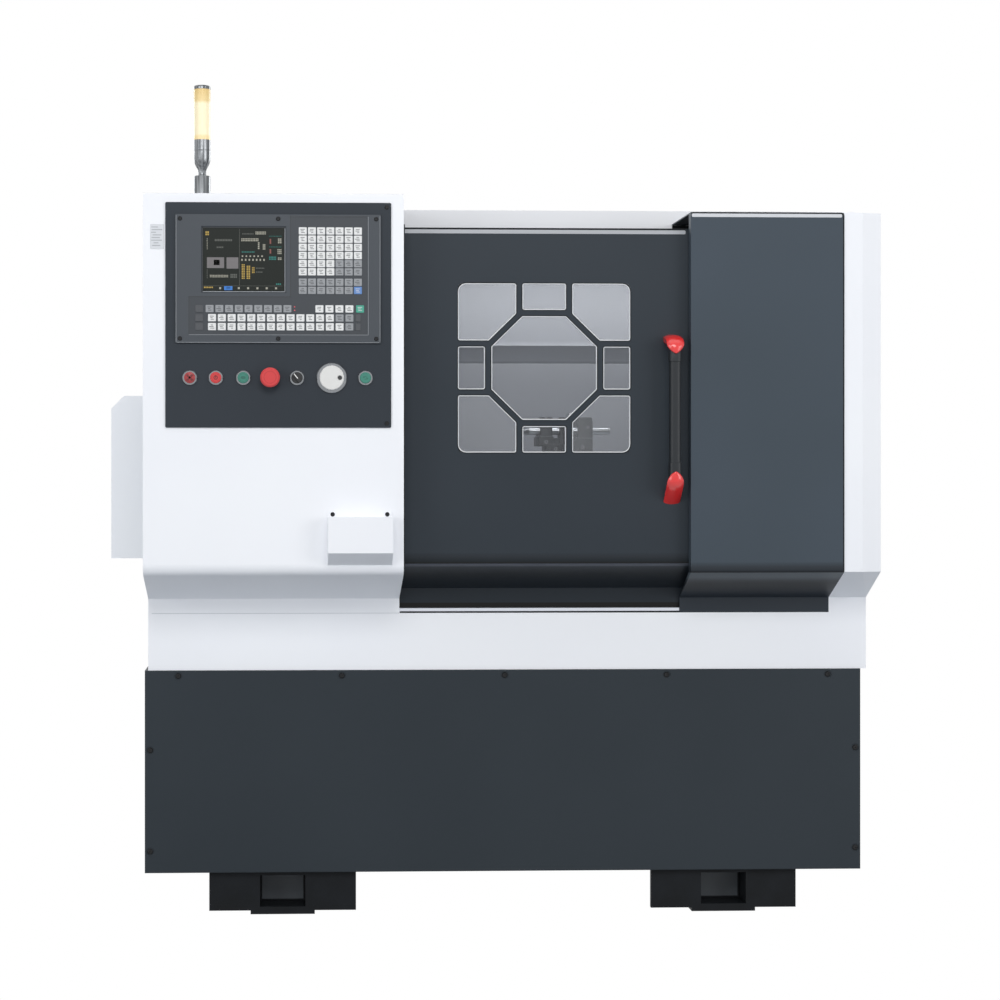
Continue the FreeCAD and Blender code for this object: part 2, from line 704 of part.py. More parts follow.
def control_housing():
    """The bent sheet that carries the control panel: face, slope and apron in one."""
    outline = [(HOUSING, ROOF), (HOUSING, BEND), (SKIRT, SLOPE_LOW), (SKIRT, SKIRT_TOP),
               (HOOD, SKIRT_TOP), (HOOD, ROOF)]
    body = profile("Housing", "YZ_Plane", outline, "housing_wide", at=(LEFT, "0", "0"))
    rounded(body, front_edge(HOUSING, BEND), "housing_round")
    rounded(body, front_edge(SKIRT, SLOPE_LOW), "sharp_round")
    rounded(body, front_edge(HOUSING, ROOF), "sharp_round")
    shelled(body, lambda f: open_back(f) or open_foot(f), "sheet")
    # The door slides in behind the face, so the right wall is only a short return.
    tools = [side_cut("DoorPass", f"({DOOR} - door_pass)", f"{DOOR_LEFT}",
                      f"{SKIRT_TOP} - sheet", f"{ROOF} - sheet")]
    # The panel's opening leaves a rim for the plate to be screwed to.
    left = f"{LEFT} + plate_left + panel_rim"
    top = f"{ROOF} - plate_drop - panel_rim"
    tools.append(box("PanelOpening", (left, f"{LEFT} + plate_left + plate_wide - panel_rim"),
                     (f"{HOUSING} - sheet", f"{HOUSING} + sheet * 2"),
                     (f"{ROOF} - plate_drop - plate_tall + panel_rim", top)))
    return keep(cut("HousingCut", body, tools + panel_taps() + port_taps()), "control_housing")


def right_cover():
    """The dark bent sheet beside the door, open towards it, with a bright top bevel."""
    outline = [(COVER, COVER_TOP), (COVER, BEND), (SKIRT, SLOPE_LOW), (SKIRT, SKIRT_TOP),
               (HOOD, SKIRT_TOP), (HOOD, COVER_TOP)]
    body = profile("Cover", "YZ_Plane", outline, "cover_wide", at=(COVER_LEFT, "0", "0"))
    chamfered(body, front_edge(COVER, COVER_TOP), "cover_bevel")
    rounded(body, front_edge(COVER, BEND), "bend")
    rounded(body, front_edge(SKIRT, SLOPE_LOW), "sharp_round")
    shelled(body, lambda f: open_back(f) or open_foot(f), "sheet")
    door_side = side_cut("CoverMouth", f"({COVER} + cover_flange)", COVER_LEFT,
                         f"{SKIRT_TOP} - sheet", f"{COVER_TOP} - sheet")
    return keep(cut("CoverCut", body, [door_side]), "right_cover")


def corner_facet(name, a, b, c, p):
    """A four-cornered tool that planes the slope's corner off below the gentle bevel."""
    corners = [Vector(*(size(text) for text in corner)) for corner in (a, b, c, p)]
    faces = []
    for skip in range(4):
        ring = [corner for i, corner in enumerate(corners) if i != skip]
        faces.append(Part.Face(Part.makePolygon(ring + ring[:1])))
    tool = doc.addObject("Part::Feature", name)
    tool.Shape = Part.makeSolid(Part.makeShell(faces))
    return tool


def strip_solid(name, inset):
    """The right panel's outer form, or its inner one when set in by the sheet."""
    front = f"({COVER} + strip_back + {inset})"
    skirt = f"({SKIRT} + {inset})"
    right = f"({RIGHT} - {inset})"
    top = f"({COVER_TOP} - {inset})"
    high = f"({ROOF} - {inset})"
    hood = f"({HOOD} + {inset})"
    over = f"({inset} / 2)"
    bend = f"({BEND} + {over})"
    low = f"({SLOPE_LOW} + {over})"
    outline = [(front, top), (front, bend), (skirt, low), (skirt, SKIRT_TOP),
               (f"{BACK} - {inset}", SKIRT_TOP), (f"{BACK} - {inset}", high),
               (hood, high), (hood, top)]
    body = profile(name, "YZ_Plane", outline, f"{right} - {COVER_RIGHT}",
                   at=(COVER_RIGHT, "0", "0"))
    corner_x = f"({right} - corner_wide)"
    corner_y = f"({front} + corner_deep)"
    beyond_x = f"({right} + bend)"
    beyond_y = f"({front} - bend)"
    wedge = profile(f"{name}Wedge", "XY_Plane",
                    [(corner_x, front), (right, corner_y), (beyond_x, corner_y),
                     (beyond_x, beyond_y), (corner_x, beyond_y)],
                    f"{ROOF} - {bend}", at=("0", "0", bend))
    facet = corner_facet(f"{name}Facet", (corner_x, front, bend), (right, corner_y, bend),
                         (right, skirt, low), (beyond_x, beyond_y, bend))
    return cut(f"{name}Form", body, [wedge, facet])


def right_side_panel():
    """White side panel whose front strip, gentle corner and slope are bent from it."""
    outer = strip_solid("Strip", "0")
    inner = strip_solid("StripInner", "sheet")
    return keep(cut("RightPanel", outer, [inner]), "right_side_panel")


def left_side_panel():
    """Flat white panel with one opening for the belt drive."""
    panel = box("LeftSheet", (LEFT, f"{LEFT} + sheet"), (HOOD, BACK), (SKIRT_TOP, ROOF))
    opening = box("BeltOpening", (f"{LEFT} - sheet", f"{LEFT} + sheet * 2"),
                  (f"{AXIS_Y} - pulley_round - belt_room",
                   f"{AXIS_Y} + motor_back + motor_pulley_round + belt_room"),
                  (f"{AXIS_Z} - motor_down - motor_pulley_round - belt_room",
                   f"{AXIS_Z} + pulley_round + belt_room"))
    return keep(cut("LeftPanel", panel, [opening]), "left_side_panel")


def back_panel():
    """Flat white panel with two rows of cooling slots."""
    panel = box("BackSheet", (f"{LEFT} + sheet", COVER_RIGHT), (f"{BACK} - sheet", BACK),
                (SKIRT_TOP, f"{ROOF} - sheet"))
    slots = []
    for row in range(3):
        for side in "-+":
            middle = f"guard_reach / 2 {side} vent_place"
            level = f"{ROOF} - vent_drop - {row} * vent_pitch"
            slots.append(box("Vent", (f"{middle} - vent_wide / 2", f"{middle} + vent_wide / 2"),
                             (f"{BACK} - sheet * 2", f"{BACK} + sheet"),
                             (level, f"{level} + vent_tall")))
    return keep(cut("BackPanel", panel, slots), "back_panel")


def hood():
    """The roof sheet with its front face and turned-in lips."""
    outline = [(HOOD, f"{ROOF} - header_drop"), (HOOD, ROOF), (BACK, ROOF),
               (BACK, f"{ROOF} - sheet"), (f"{HOOD} + sheet", f"{ROOF} - sheet"),
               (f"{HOOD} + sheet", f"{ROOF} - header_drop + sheet"),
               (f"{HOOD} + hood_lip", f"{ROOF} - header_drop + sheet"),
               (f"{HOOD} + hood_lip", f"{ROOF} - header_drop")]
    start = f"({LEFT} + sheet)"
    body = profile("Hood", "YZ_Plane", outline, f"{COVER_RIGHT} - {start}",
                   at=(start, "0", "0"))
    return keep(body, "hood")


def belt_guard():
    """A white pan over the belt drive, its upper edge cut back, with a hole for bar stock."""
    outer = f"({LEFT} - guard_reach)"
    low = f"({SKIRT_TOP} + guard_low)"
    high = f"({SKIRT_TOP} + guard_low + guard_tall)"
    outline = [(outer, low), (LEFT, low), (LEFT, high), (f"{outer} + guard_chamfer", high),
               (outer, f"{high} - guard_chamfer")]
    body = profile("Guard", "XZ_Plane", outline, "guard_deep",
                   at=("0", f"{AXIS_Y} - guard_front", "0"))
    shelled(body, lambda f: not extends(f, "X") and near(f.BoundBox.XMin, LEFT), "sheet")
    hole = rod("BarHole", "x", "bar_hole", "sheet * 4", f"{outer} - sheet", AXIS_Y, AXIS_Z)
    return keep(cut("GuardCut", body, [hole]), "belt_guard")


PORT_RIGHT = f"({LEFT} + housing_wide - port_right)"
PORT_TOP = f"({BEND} + port_lift + port_tall)"


def port_screws():
    """Where the port cover's flange is screwed to the housing."""
    return [(f"{PORT_RIGHT} - {inset}", f"{HOUSING} - sheet", f"{PORT_TOP} + port_flange / 2")
            for inset in ("port_screw", "(port_wide - port_screw)")]


def port_taps():
    """The holes those screws sit in, as tools."""
    return [rod("PortTap", "y", "panel_shank / 2 + run_fit", "panel_shank_long + slack", x, y, z)
            for x, y, z in port_screws()]


def port_cover():
    """A small bent hood below the control panel, its lower face sloping back."""
    left = f"({PORT_RIGHT} - port_wide)"
    low = f"({BEND} + port_lift)"
    front = f"({HOUSING} - port_reach)"
    outline = [(HOUSING, low), (HOUSING, PORT_TOP), (front, PORT_TOP),
               (front, f"{PORT_TOP} - port_front")]
    body = profile("PortCover", "YZ_Plane", outline, "port_wide", at=(left, "0", "0"))
    shelled(body, lambda f: not extends(f, "Y") and near(f.BoundBox.YMin, HOUSING),
            "sheet")
    flange = box("PortFlange", (left, PORT_RIGHT), (f"{HOUSING} - sheet", HOUSING),
                 (f"{PORT_TOP} - sheet", f"{PORT_TOP} + port_flange"))
    return keep(cut("PortCut", fuse("PortSolid", [body, flange]), port_taps()), "port_cover")


# ---------------------------------------------------------------- door

APRON = f"({SKIRT} + apron_back)"
DOOR_BEND = f"({BEND} + door_slope_high)"
DOOR_SLOPE = f"({SLOPE_LOW} + door_slope_low)"
PAN_LEFT = f"({DOOR_LEFT} - door_behind)"
PAN_RIGHT = f"({COVER_LEFT} + door_lap)"
FIELD_RIGHT = f"({COVER_LEFT} - pane_right)"
FIELD_LEFT = f"({FIELD_RIGHT} - pane_size)"
FIELD_TOP = f"({DOOR_TOP} - pane_drop)"
FIELD_LOW = f"({FIELD_TOP} - pane_high)"


def pane_outlines():
    """The door's nine panes, from the field's middle: an octagon among eight others."""
    mid_x = f"({FIELD_LEFT} + pane_size / 2)"
    mid_z = f"({FIELD_LOW} + pane_high / 2)"
    half = "pane_size / 2"
    inner = "(pane_octagon / 2)"
    flat = f"(pane_octagon * {math.tan(math.pi / 8) / 2})"
    side = "(pane_middle / 2)"
    slim = f"({half} - pane_slim)"
    step = f"({side} + pane_gap)"
    cut_in = f"({inner} + {flat} + pane_gap * {math.sqrt(2)} - 2 * {step})"
    octagon = [(flat, inner), (inner, flat), (inner, f"-{flat}"), (flat, f"-{inner}"),
               (f"-{flat}", f"-{inner}"), (f"-{inner}", f"-{flat}"), (f"-{inner}", flat),
               (f"-{flat}", inner)]
    top = [(f"-{side}", slim), (side, slim), (side, half), (f"-{side}", half)]
    corner = [(step, half), (step, f"{step} + {cut_in}"), (f"{step} + {cut_in}", step),
              (half, step), (half, half)]
    outlines = [octagon]
    for turn in range(4):
        for shape in (top, corner):
            outlines.append([spun(a, b, turn) for a, b in shape])
    return [[(f"{mid_x} + ({a})", f"{mid_z} + ({b}) * pane_high / pane_size") for a, b in shape]
            for shape in outlines]


def spun(a, b, turns):
    """A point turned by quarter turns about the field's middle."""
    for _ in range(turns):
        a, b = f"-({b})", a
    return a, b


def from_corner(edge):
    """How far an edge through the door is from the nearest corner of the panes' field."""
    middle = edge.BoundBox.Center
    return math.hypot(min(abs(middle.x - size(x)) for x in (FIELD_LEFT, FIELD_RIGHT)),
                      min(abs(middle.z - size(z)) for z in (FIELD_LOW, FIELD_TOP)))


def field_corner(edge):
    return extends(edge, "Y") and from_corner(edge) < CLOSE


def door_panel():
    """The sliding door: one bent pan that follows the enclosure, cut for nine panes."""
    outline = [
        (f"{DOOR} + door_pan", DOOR_TOP), (f"{DOOR} + door_chamfer", DOOR_TOP),
        (DOOR, f"{DOOR_TOP} - door_chamfer"), (DOOR, DOOR_BEND), (APRON, DOOR_SLOPE),
        (APRON, DOOR_LOW), (f"{APRON} + apron_pan", DOOR_LOW),
        (f"{APRON} + apron_pan", f"{DOOR_SLOPE} + apron_pan / 2"),
        (f"{DOOR} + door_pan", f"{DOOR_BEND} + apron_pan / 2")]
    body = profile("Door", "YZ_Plane", outline, f"{PAN_RIGHT} - {PAN_LEFT}",
                   at=(PAN_LEFT, "0", "0"))
    rounded(body, front_edge(DOOR, DOOR_BEND), "sharp_round")
    rounded(body, front_edge(APRON, DOOR_SLOPE), "sharp_round")
    back = [(f"{DOOR} + door_pan", f"{DOOR} + door_pan"),
            (f"{APRON} + apron_pan", f"{APRON} + apron_pan"),
            (f"{DOOR} + door_pan", f"{APRON} + apron_pan")]
    shelled(body, lambda f: extends(f, "X") and any(
        near(f.BoundBox.YMin, low) and near(f.BoundBox.YMax, high) for low, high in back),
        "sheet")
    panes = [profile("Pane", "XZ_Plane", shape, "sheet * 4",
                     at=("0", f"{DOOR} - sheet * 2", "0")) for shape in pane_outlines()]
    for pane in panes:
        if any(field_corner(edge) for edge in pane.Shape.Edges):
            rounded(pane, field_corner, "pane_corner")
        rounded(pane, lambda e: extends(e, "Y") and from_corner(e) > size("pane_corner") * 2,
                "pane_round")
    return keep(cut("DoorCut", body, panes), "door_panel")


def window_pane():
    """One polycarbonate sheet clamped behind the door's nine openings."""
    front = f"({DOOR} + sheet)"
    pane = box("Glass", (f"{FIELD_LEFT} - pane_lap", f"{FIELD_RIGHT} + pane_lap"),
               (front, f"{front} + pane_thick"),
               (f"{FIELD_LOW} - pane_lap", f"{FIELD_TOP} + pane_lap"))
    return keep(pane, "window_pane")


HANDLE_X = f"({COVER_LEFT} - handle_right)"
HANDLE_FRONT = f"({DOOR} - handle_off)"
HANDLE_TOP = f"({DOOR_TOP} - handle_drop)"
HANDLE_LOW = f"({HANDLE_TOP} - handle_tall)"
HANDLE_ENDS = ((HANDLE_TOP, "-", "cap_tall", "leg_tall"),
               (HANDLE_LOW, "+", "cap_low_tall", "leg_low_tall"))


def handle_end(name, end, way, inset, tall, wide, radius=None):
    """A handle end, seen from the side: out from the door, over the nose, along the bar."""
    front = f"({HANDLE_FRONT} + {inset})"
    tip = f"({end} {way} {inset})"
    root = f"({end} {way} cap_root)"
    outline = [(DOOR, root), (DOOR, tip), (f"{front} + cap_nose", tip),
               (front, f"{tip} {way} cap_nose"), (front, f"{end} {way} {tall}"),
               (f"{front} + leg_deep", f"{end} {way} {tall}"), (f"{front} + leg_deep", root)]
    body = profile(name, "YZ_Plane", outline, wide, at=(f"{HANDLE_X} - ({wide}) / 2", "0", "0"))
    if radius:
        rounded(body, lambda e: e.BoundBox.YMin < size(f"{front} + cap_nose") + CLOSE
                and e.BoundBox.YMax < size(f"{front} + cap_nose") + CLOSE, radius)
    return body


def door_handle():
    """An upright bar of rounded oblong section between two legs that stand on the door."""
    low = f"({HANDLE_LOW} + cap_root * 1.5)"
    high = f"({HANDLE_TOP} - cap_root * 1.5)"
    outline = rectangle("-handle_wide / 2", "handle_wide / 2", "0", "handle_deep")
    bar = profile("HandleBar", "XY_Plane", outline, f"{high} - {low}",
                  at=(HANDLE_X, f"{HANDLE_FRONT} + cap_wall + bar_back", low))
    rounded(bar, lambda e: extends(e, "Z"), "handle_wide / 3")
    legs = [handle_end("HandleLeg", end, way, "cap_wall", leg, "leg_wide", "leg_round")
            for end, way, _, leg in HANDLE_ENDS]
    return keep(fuse("Handle", [bar] + legs), "door_handle")


def handle_caps():
    """The two red caps over the handle's ends, each drawn down to a rounded tip."""
    caps = []
    for end, way, tall, leg in HANDLE_ENDS:
        half = "cap_wide / 2"
        shoulder = f"({end} {way} ({tall} - cap_shoulder))"
        outline = [(f"-{half}", end), (half, end), (half, shoulder), ("0", f"{end} {way} {tall}"),
                   (f"-{half}", shoulder)]
        shield = profile("CapShield", "XZ_Plane", outline, "handle_off",
                         at=(HANDLE_X, HANDLE_FRONT, "0"))
        rounded(shield, lambda e: extends(e, "Y"), "cap_round")
        hood = handle_end("CapHood", end, way, "0", tall, "cap_wide", "leg_round")
        leg_room = handle_end("LegRoom", end, way, "(cap_wall - slack)", leg,
                              "leg_wide + 2 * slack")
        caps.append(cut("CapCut", common("CapSolid", [shield, hood]), [leg_room]))
    return keep(group("Caps", caps), "handle_caps")


RAIL_HIGH = f"({DOOR_TOP} - sheet - plate_gauge - slack)"
RAIL_LOW = f"({RAIL_HIGH} - rail_tall)"
RAIL_FRONT = f"({HOOD} - rail_deep)"


def door_top_rail():
    """The bar on the hood's face that carries the door."""
    rail = box("TopRail", (f"{LEFT} + sheet + slack", f"{COVER_RIGHT} - sheet - slack"),
               (RAIL_FRONT, HOOD), (RAIL_LOW, RAIL_HIGH))
    return keep(rail, "door_top_rail")


def door_top_plate():
    """The bent plate under the door's top flange: it roofs the gap and hangs on the rail."""
    low = f"({RAIL_HIGH} + slack)"
    high = f"({low} + plate_gauge)"
    hook = f"({RAIL_FRONT} - slack)"
    start_y = f"({DOOR} + door_chamfer + sheet)"
    outline = [(start_y, low), (f"{hook} - plate_gauge", low),
               (f"{hook} - plate_gauge", RAIL_LOW), (hook, RAIL_LOW), (hook, low),
               (f"{HOOD} - plate_gauge", low), (f"{HOOD} - plate_gauge", high),
               (start_y, high)]
    plate = profile("TopPlate", "YZ_Plane", outline, f"{PAN_RIGHT} - {PAN_LEFT} - 2 * plate_in",
                    at=(f"{PAN_LEFT} + plate_in", "0", "0"))
    return keep(plate, "door_top_plate")


def door_sill_rail():
    """The aluminium track under the door, let in behind the two aprons."""
    front = f"({SKIRT} + sheet + slack)"
    outline = [(front, SKIRT_TOP), (front, f"{SKIRT_TOP} + sill_tall"),
               (f"{front} + sill_lip", f"{SKIRT_TOP} + sill_tall"),
               (f"{front} + sill_lip", f"{SKIRT_TOP} + sill_lip"),
               (f"{front} + sill_deep - sill_lip", f"{SKIRT_TOP} + sill_lip"),
               (f"{front} + sill_deep - sill_lip", f"{SKIRT_TOP} + sill_tall"),
               (f"{front} + sill_deep", f"{SKIRT_TOP} + sill_tall"),
               (f"{front} + sill_deep", SKIRT_TOP)]
    start = f"({LEFT} + sheet + slack)"
    rail = profile("Sill", "YZ_Plane", outline, f"{PAN_RIGHT} - {start}", at=(start, "0", "0"))
    return keep(rail, "door_sill_rail")


# ---------------------------------------------------------------- machine

BED_LEFT = f"({LEFT} + bed_left)"
BED_RIGHT = f"({BED_LEFT} + bed_wide)"
HEAD_LEFT = f"({LEFT} + head_left)"
HEAD_RIGHT = f"({HEAD_LEFT} + head_wide)"
NOSE = f"({HEAD_RIGHT} + slack)"
CHUCK = f"({NOSE} + nose_thick)"
CHUCK_FACE = f"({CHUCK} + chuck_long)"
MOTOR_Y = f"({AXIS_Y} + motor_back)"
MOTOR_Z = f"({AXIS_Z} - motor_down)"
PULLEY_IN = f"({LEFT} - pulley_gap)"
PULLEY_OUT = f"({PULLEY_IN} - pulley_wide)"
SLIDE_MID = "(guard_reach / 2 + slide_mid)"
SCREW_Z = f"({BED_TOP} + screw_over_bed)"
PLATE_LOW = f"({BED_TOP} + block_tall)"
PLATE_TOP = f"({PLATE_LOW} + saddle_tall)"
SLIDE_LOW = f"({PLATE_TOP} + slack)"
SLIDE_TOP = f"({SLIDE_LOW} + slide_tall)"
CROSS_Z = PLATE_TOP
SADDLE_FRONT = f"({AXIS_Y} - saddle_deep / 2)"
SADDLE_BACK = f"({AXIS_Y} + saddle_deep / 2)"


def bed_casting():
    """The cast bed: feet, two webs, a top with a channel for the long screw."""
    foot_half = "(bed_deep / 2 + bed_foot)"
    half = "(bed_deep / 2)"
    inner = f"({half} - bed_web)"
    foot_top = f"({TRAY_FLOOR} + bed_web)"
    trough = "(trough_wide / 2)"
    trough_floor = f"({BED_TOP} - trough_deep)"
    under = f"({trough_floor} - bed_web)"
    side = [(foot_half, TRAY_FLOOR), (foot_half, foot_top), (half, f"{foot_top} + bed_web"),
            (half, BED_TOP), (trough, BED_TOP), (trough, trough_floor)]
    outline = [(f"{AXIS_Y} + {a}", b) for a, b in side]
    outline += [(f"{AXIS_Y} - {a}", b) for a, b in reversed(side)]
    outline += [(f"{AXIS_Y} - {inner}", TRAY_FLOOR), (f"{AXIS_Y} - {inner}", under),
                (f"{AXIS_Y} + {inner}", under), (f"{AXIS_Y} + {inner}", TRAY_FLOOR)]
    bed = profile("Bed", "YZ_Plane", outline, "bed_wide", at=(BED_LEFT, "0", "0"))
    return keep(bed, "bed_casting")


def headstock():
    """The cast headstock with its two upper edges cut back and the spindle's bore."""
    half = "(head_deep / 2)"
    top = f"({AXIS_Z} + head_top)"
    outline = [(f"{AXIS_Y} - {half}", BED_TOP), (f"{AXIS_Y} + {half}", BED_TOP),
               (f"{AXIS_Y} + {half}", f"{top} - head_chamfer"),
               (f"{AXIS_Y} + {half} - head_chamfer", top),
               (f"{AXIS_Y} - {half} + head_chamfer", top),
               (f"{AXIS_Y} - {half}", f"{top} - head_chamfer")]
    body = profile("Head", "YZ_Plane", outline, "head_wide", at=(HEAD_LEFT, "0", "0"),
                   circles=[(AXIS_Y, AXIS_Z, "spindle_round + run_fit")])
    return keep(body, "headstock")


def on_axis(name, points):
    """A piece turned about the spindle's axis: each point is a place along X and a radius."""
    return turned(name, "XY_Plane", points, ("0", AXIS_Y, AXIS_Z))


def spindle():
    """The hollow spindle: slim tail for the pulley, bearing seat, nose flange."""
    tail = f"({PULLEY_OUT} - spindle_stub)"
    return keep(on_axis("Spindle", [
        (tail, "spindle_bore"), (tail, "spindle_tail"), (HEAD_LEFT, "spindle_tail"),
        (HEAD_LEFT, "spindle_round"), (NOSE, "spindle_round"), (NOSE, "nose_round"),
        (CHUCK, "nose_round"), (CHUCK, "spindle_bore")]), "spindle")


def pulley(name, radius, bore, x, y, z):
    """A flanged belt pulley whose inner face is at x."""
    flange = "(pulley_wide - belt_wide) / 2"
    outer = f"({x} - pulley_wide)"
    points = [(outer, bore), (outer, radius), (f"{outer} + {flange}", radius),
              (f"{outer} + {flange}", f"{radius} - groove_deep"),
              (f"{x} - {flange}", f"{radius} - groove_deep"), (f"{x} - {flange}", radius),
              (x, radius), (x, bore)]
    return turned(name, "XY_Plane", points, ("0", y, z))


def spindle_pulley():
    body = pulley("SpindlePulley", "pulley_round", "spindle_tail", PULLEY_IN, AXIS_Y, AXIS_Z)
    return keep(body, "spindle_pulley")


def motor_pulley():
    """The small pulley, on the motor's own shaft."""
    wheel = pulley("MotorPulley", "motor_pulley_round", "0", PULLEY_IN, MOTOR_Y, MOTOR_Z)
    shaft = rod("MotorShaft", "x", "motor_shaft",
                f"{LEFT} + motor_in + motor_long / 3 - {PULLEY_IN}", PULLEY_IN, MOTOR_Y, MOTOR_Z)
    return keep(fuse("MotorPulleyShaft", [wheel, shaft]), "motor_pulley")


def belt_loop(name, inset, radius_one, radius_two):
    """A loop round both pulleys as a solid slab, set out by an inset over their grooves."""
    first = Vector(0, size(AXIS_Y), size(AXIS_Z))
    second = Vector(0, size(MOTOR_Y), size(MOTOR_Z))
    one, two = size(radius_one) + inset, size(radius_two) + inset
    span = second - first
    lean = math.acos((one - two) / span.Length)
    along = math.atan2(span.z, span.y)

    def at(centre, radius, angle):
        return centre + Vector(0, math.cos(angle) * radius, math.sin(angle) * radius)

    start, end = along + lean, along - lean
    wire = Part.Wire([
        Part.Arc(at(first, one, start), at(first, one, along + math.pi),
                 at(first, one, end)).toShape(),
        Part.makeLine(at(first, one, end), at(second, two, end)),
        Part.Arc(at(second, two, end), at(second, two, along),
                 at(second, two, start)).toShape(),
        Part.makeLine(at(second, two, start), at(first, one, start))])
    slab = doc.addObject("Part::Feature", name)
    slab.Shape = Part.Face(wire).extrude(Vector(size("belt_wide") - 2 * size("slack"), 0, 0))
    slab.Placement.Base.x = size(PULLEY_OUT) + (size("pulley_wide") - size("belt_wide")) / 2
    slab.Placement.Base.x += size("slack")
    return slab


def drive_belt():
    """The flat loop round both pulleys."""
    grooves = ("pulley_round - groove_deep", "motor_pulley_round - groove_deep")
    outer = belt_loop("BeltOuter", size("slack") + size("belt_thick"), *grooves)
    inner = belt_loop("BeltInner", size("slack"), *grooves)
    return keep(cut("Belt", outer, [inner]), "drive_belt")


def spindle_motor():
    """A foot-mounted motor on a pedestal that stands in the tray behind the headstock."""
    start = f"({LEFT} + motor_in)"
    case = rod("MotorCase", "x", "motor_round", "motor_long", start, MOTOR_Y, MOTOR_Z)
    cowl = rod("MotorCowl", "x", "motor_round * 0.9", "motor_long + motor_round / 2", start,
               MOTOR_Y, MOTOR_Z)
    foot_z = f"({MOTOR_Z} - motor_round)"
    base = box("MotorFoot", (f"{start} + motor_shaft", f"{start} + motor_long - motor_shaft"),
               (f"{MOTOR_Y} - motor_round", f"{MOTOR_Y} + motor_round"),
               (f"{foot_z} - motor_shaft / 2", f"{foot_z} + motor_round / 4"))
    ribs = [box("MotorRib", (f"{start} + motor_shaft * 2",
                             f"{start} + motor_long - motor_shaft * 2"),
                (f"{MOTOR_Y} - motor_rib / 2 + {i} * motor_rib * 4",
                 f"{MOTOR_Y} + motor_rib / 2 + {i} * motor_rib * 4"),
                (MOTOR_Z, f"{MOTOR_Z} + motor_round + motor_rib")) for i in range(-2, 3)]
    solid = fuse("MotorSolid", [case, cowl, base] + ribs)
    bore = rod("MotorBore", "x", "motor_shaft + run_fit", "motor_long / 3 + slack", start,
               MOTOR_Y, MOTOR_Z)
    return keep(cut("MotorCut", solid, [bore]), "spindle_motor")


def motor_pedestal():
    """A welded stand under the motor: a box with open ends."""
    start = f"({LEFT} + motor_in)"
    top = f"{MOTOR_Z} - motor_round - motor_shaft / 2"
    outer = rectangle("-motor_round", "motor_round", TRAY_FLOOR, top)
    inner = rectangle("-motor_round + base_wall", "motor_round - base_wall",
                      f"{TRAY_FLOOR} + base_wall", f"{top} - base_wall")
    body = profile("Pedestal", "YZ_Plane", outer, "motor_long - 2 * motor_shaft", more=[inner],
                   at=(f"{start} + motor_shaft", MOTOR_Y, "0"))
    return keep(body, "motor_pedestal")


def chuck_body():
    """The chuck: a drum with a bar hole and three radial slots for the jaws."""
    drum = on_axis("Drum", [
        (CHUCK, "spindle_bore"), (CHUCK, "chuck_round - bend"),
        (f"{CHUCK} + bend", "chuck_round"), (f"{CHUCK_FACE} - sheet", "chuck_round"),
        (CHUCK_FACE, "chuck_round - sheet"), (CHUCK_FACE, "spindle_bore")])
    slots = []
    for turn in range(3):
        slot = doc.addObject("Part::Box", "JawSlot")
        slot.setExpression("Length", bound("jaw_key + jaw_fit"))
        slot.setExpression("Width", bound("jaw_wide + 2 * jaw_fit"))
        slot.setExpression("Height", bound("chuck_round"))
        swing(slot, turn, f"{CHUCK_FACE} - jaw_key - jaw_fit", "-jaw_wide / 2 - jaw_fit", "0")
        slots.append(slot)
    return keep(cut("Chuck", drum, slots), "chuck_body")


def swing(item, turn, x, side, out):
    """Place a piece beside the spindle's axis and swing it by thirds of a turn."""
    angle = turn * 120
    item.Placement.Rotation = Rotation(Vector(1, 0, 0), angle)
    sine, cosine = math.sin(math.radians(angle)), math.cos(math.radians(angle))
    item.setExpression("Placement.Base.x", bound(x))
    item.setExpression("Placement.Base.y",
                       bound(f"{AXIS_Y} + ({side}) * {cosine} - ({out}) * {sine}"))
    item.setExpression("Placement.Base.z",
                       bound(f"{AXIS_Z} + ({side}) * {sine} + ({out}) * {cosine}"))
    return item


def chuck_jaw(turn):
    """A stepped jaw whose key runs in the chuck's slot."""
    body = doc.addObject("PartDesign::Body", "Jaw")
    outline = [
        ("0", "jaw_open"), ("jaw_key + jaw_long", "jaw_open"),
        ("jaw_key + jaw_long", "jaw_open + jaw_tall / 3"),
        ("jaw_key + jaw_long * 2 / 3", "jaw_open + jaw_tall / 3"),
        ("jaw_key + jaw_long * 2 / 3", "jaw_open + jaw_tall * 2 / 3"),
        ("jaw_key + jaw_long / 3", "jaw_open + jaw_tall * 2 / 3"),
        ("jaw_key + jaw_long / 3", "jaw_open + jaw_tall"), ("0", "jaw_open + jaw_tall")]
    sketch = new_sketch(body, "XZ_Plane", outline)
    pad = body.newObject("PartDesign::Pad", "Pad")
    pad.Profile = sketch
    pad.setExpression("Length", bound("jaw_wide"))
    pad.Midplane = True
    doc.recompute()
    swing(body, turn, f"{CHUCK_FACE} - jaw_key", "0", "0")
    return keep(body, f"chuck_jaw_{turn + 1}")


def linear_rails():
    """Two ground rails on the bed, each with a waist."""
    bars = []
    for side in "-+":
        outline = [("-way_wide / 2", "0"), ("way_wide / 2", "0"), ("way_wide / 2", "way_tall / 3"),
                   ("way_wide / 3", "way_tall / 2"), ("way_wide / 2", "way_tall * 2 / 3"),
                   ("way_wide / 2", "way_tall"), ("-way_wide / 2", "way_tall"),
                   ("-way_wide / 2", "way_tall * 2 / 3"), ("-way_wide / 3", "way_tall / 2"),
                   ("-way_wide / 2", "way_tall / 3")]
        bars.append(profile("Way", "YZ_Plane", outline, "way_long",
                            at=(f"{BED_RIGHT} - way_end - way_long",
                                f"{AXIS_Y} {side} way_pitch / 2", BED_TOP)))
    return keep(group("Ways", bars), "linear_rails")


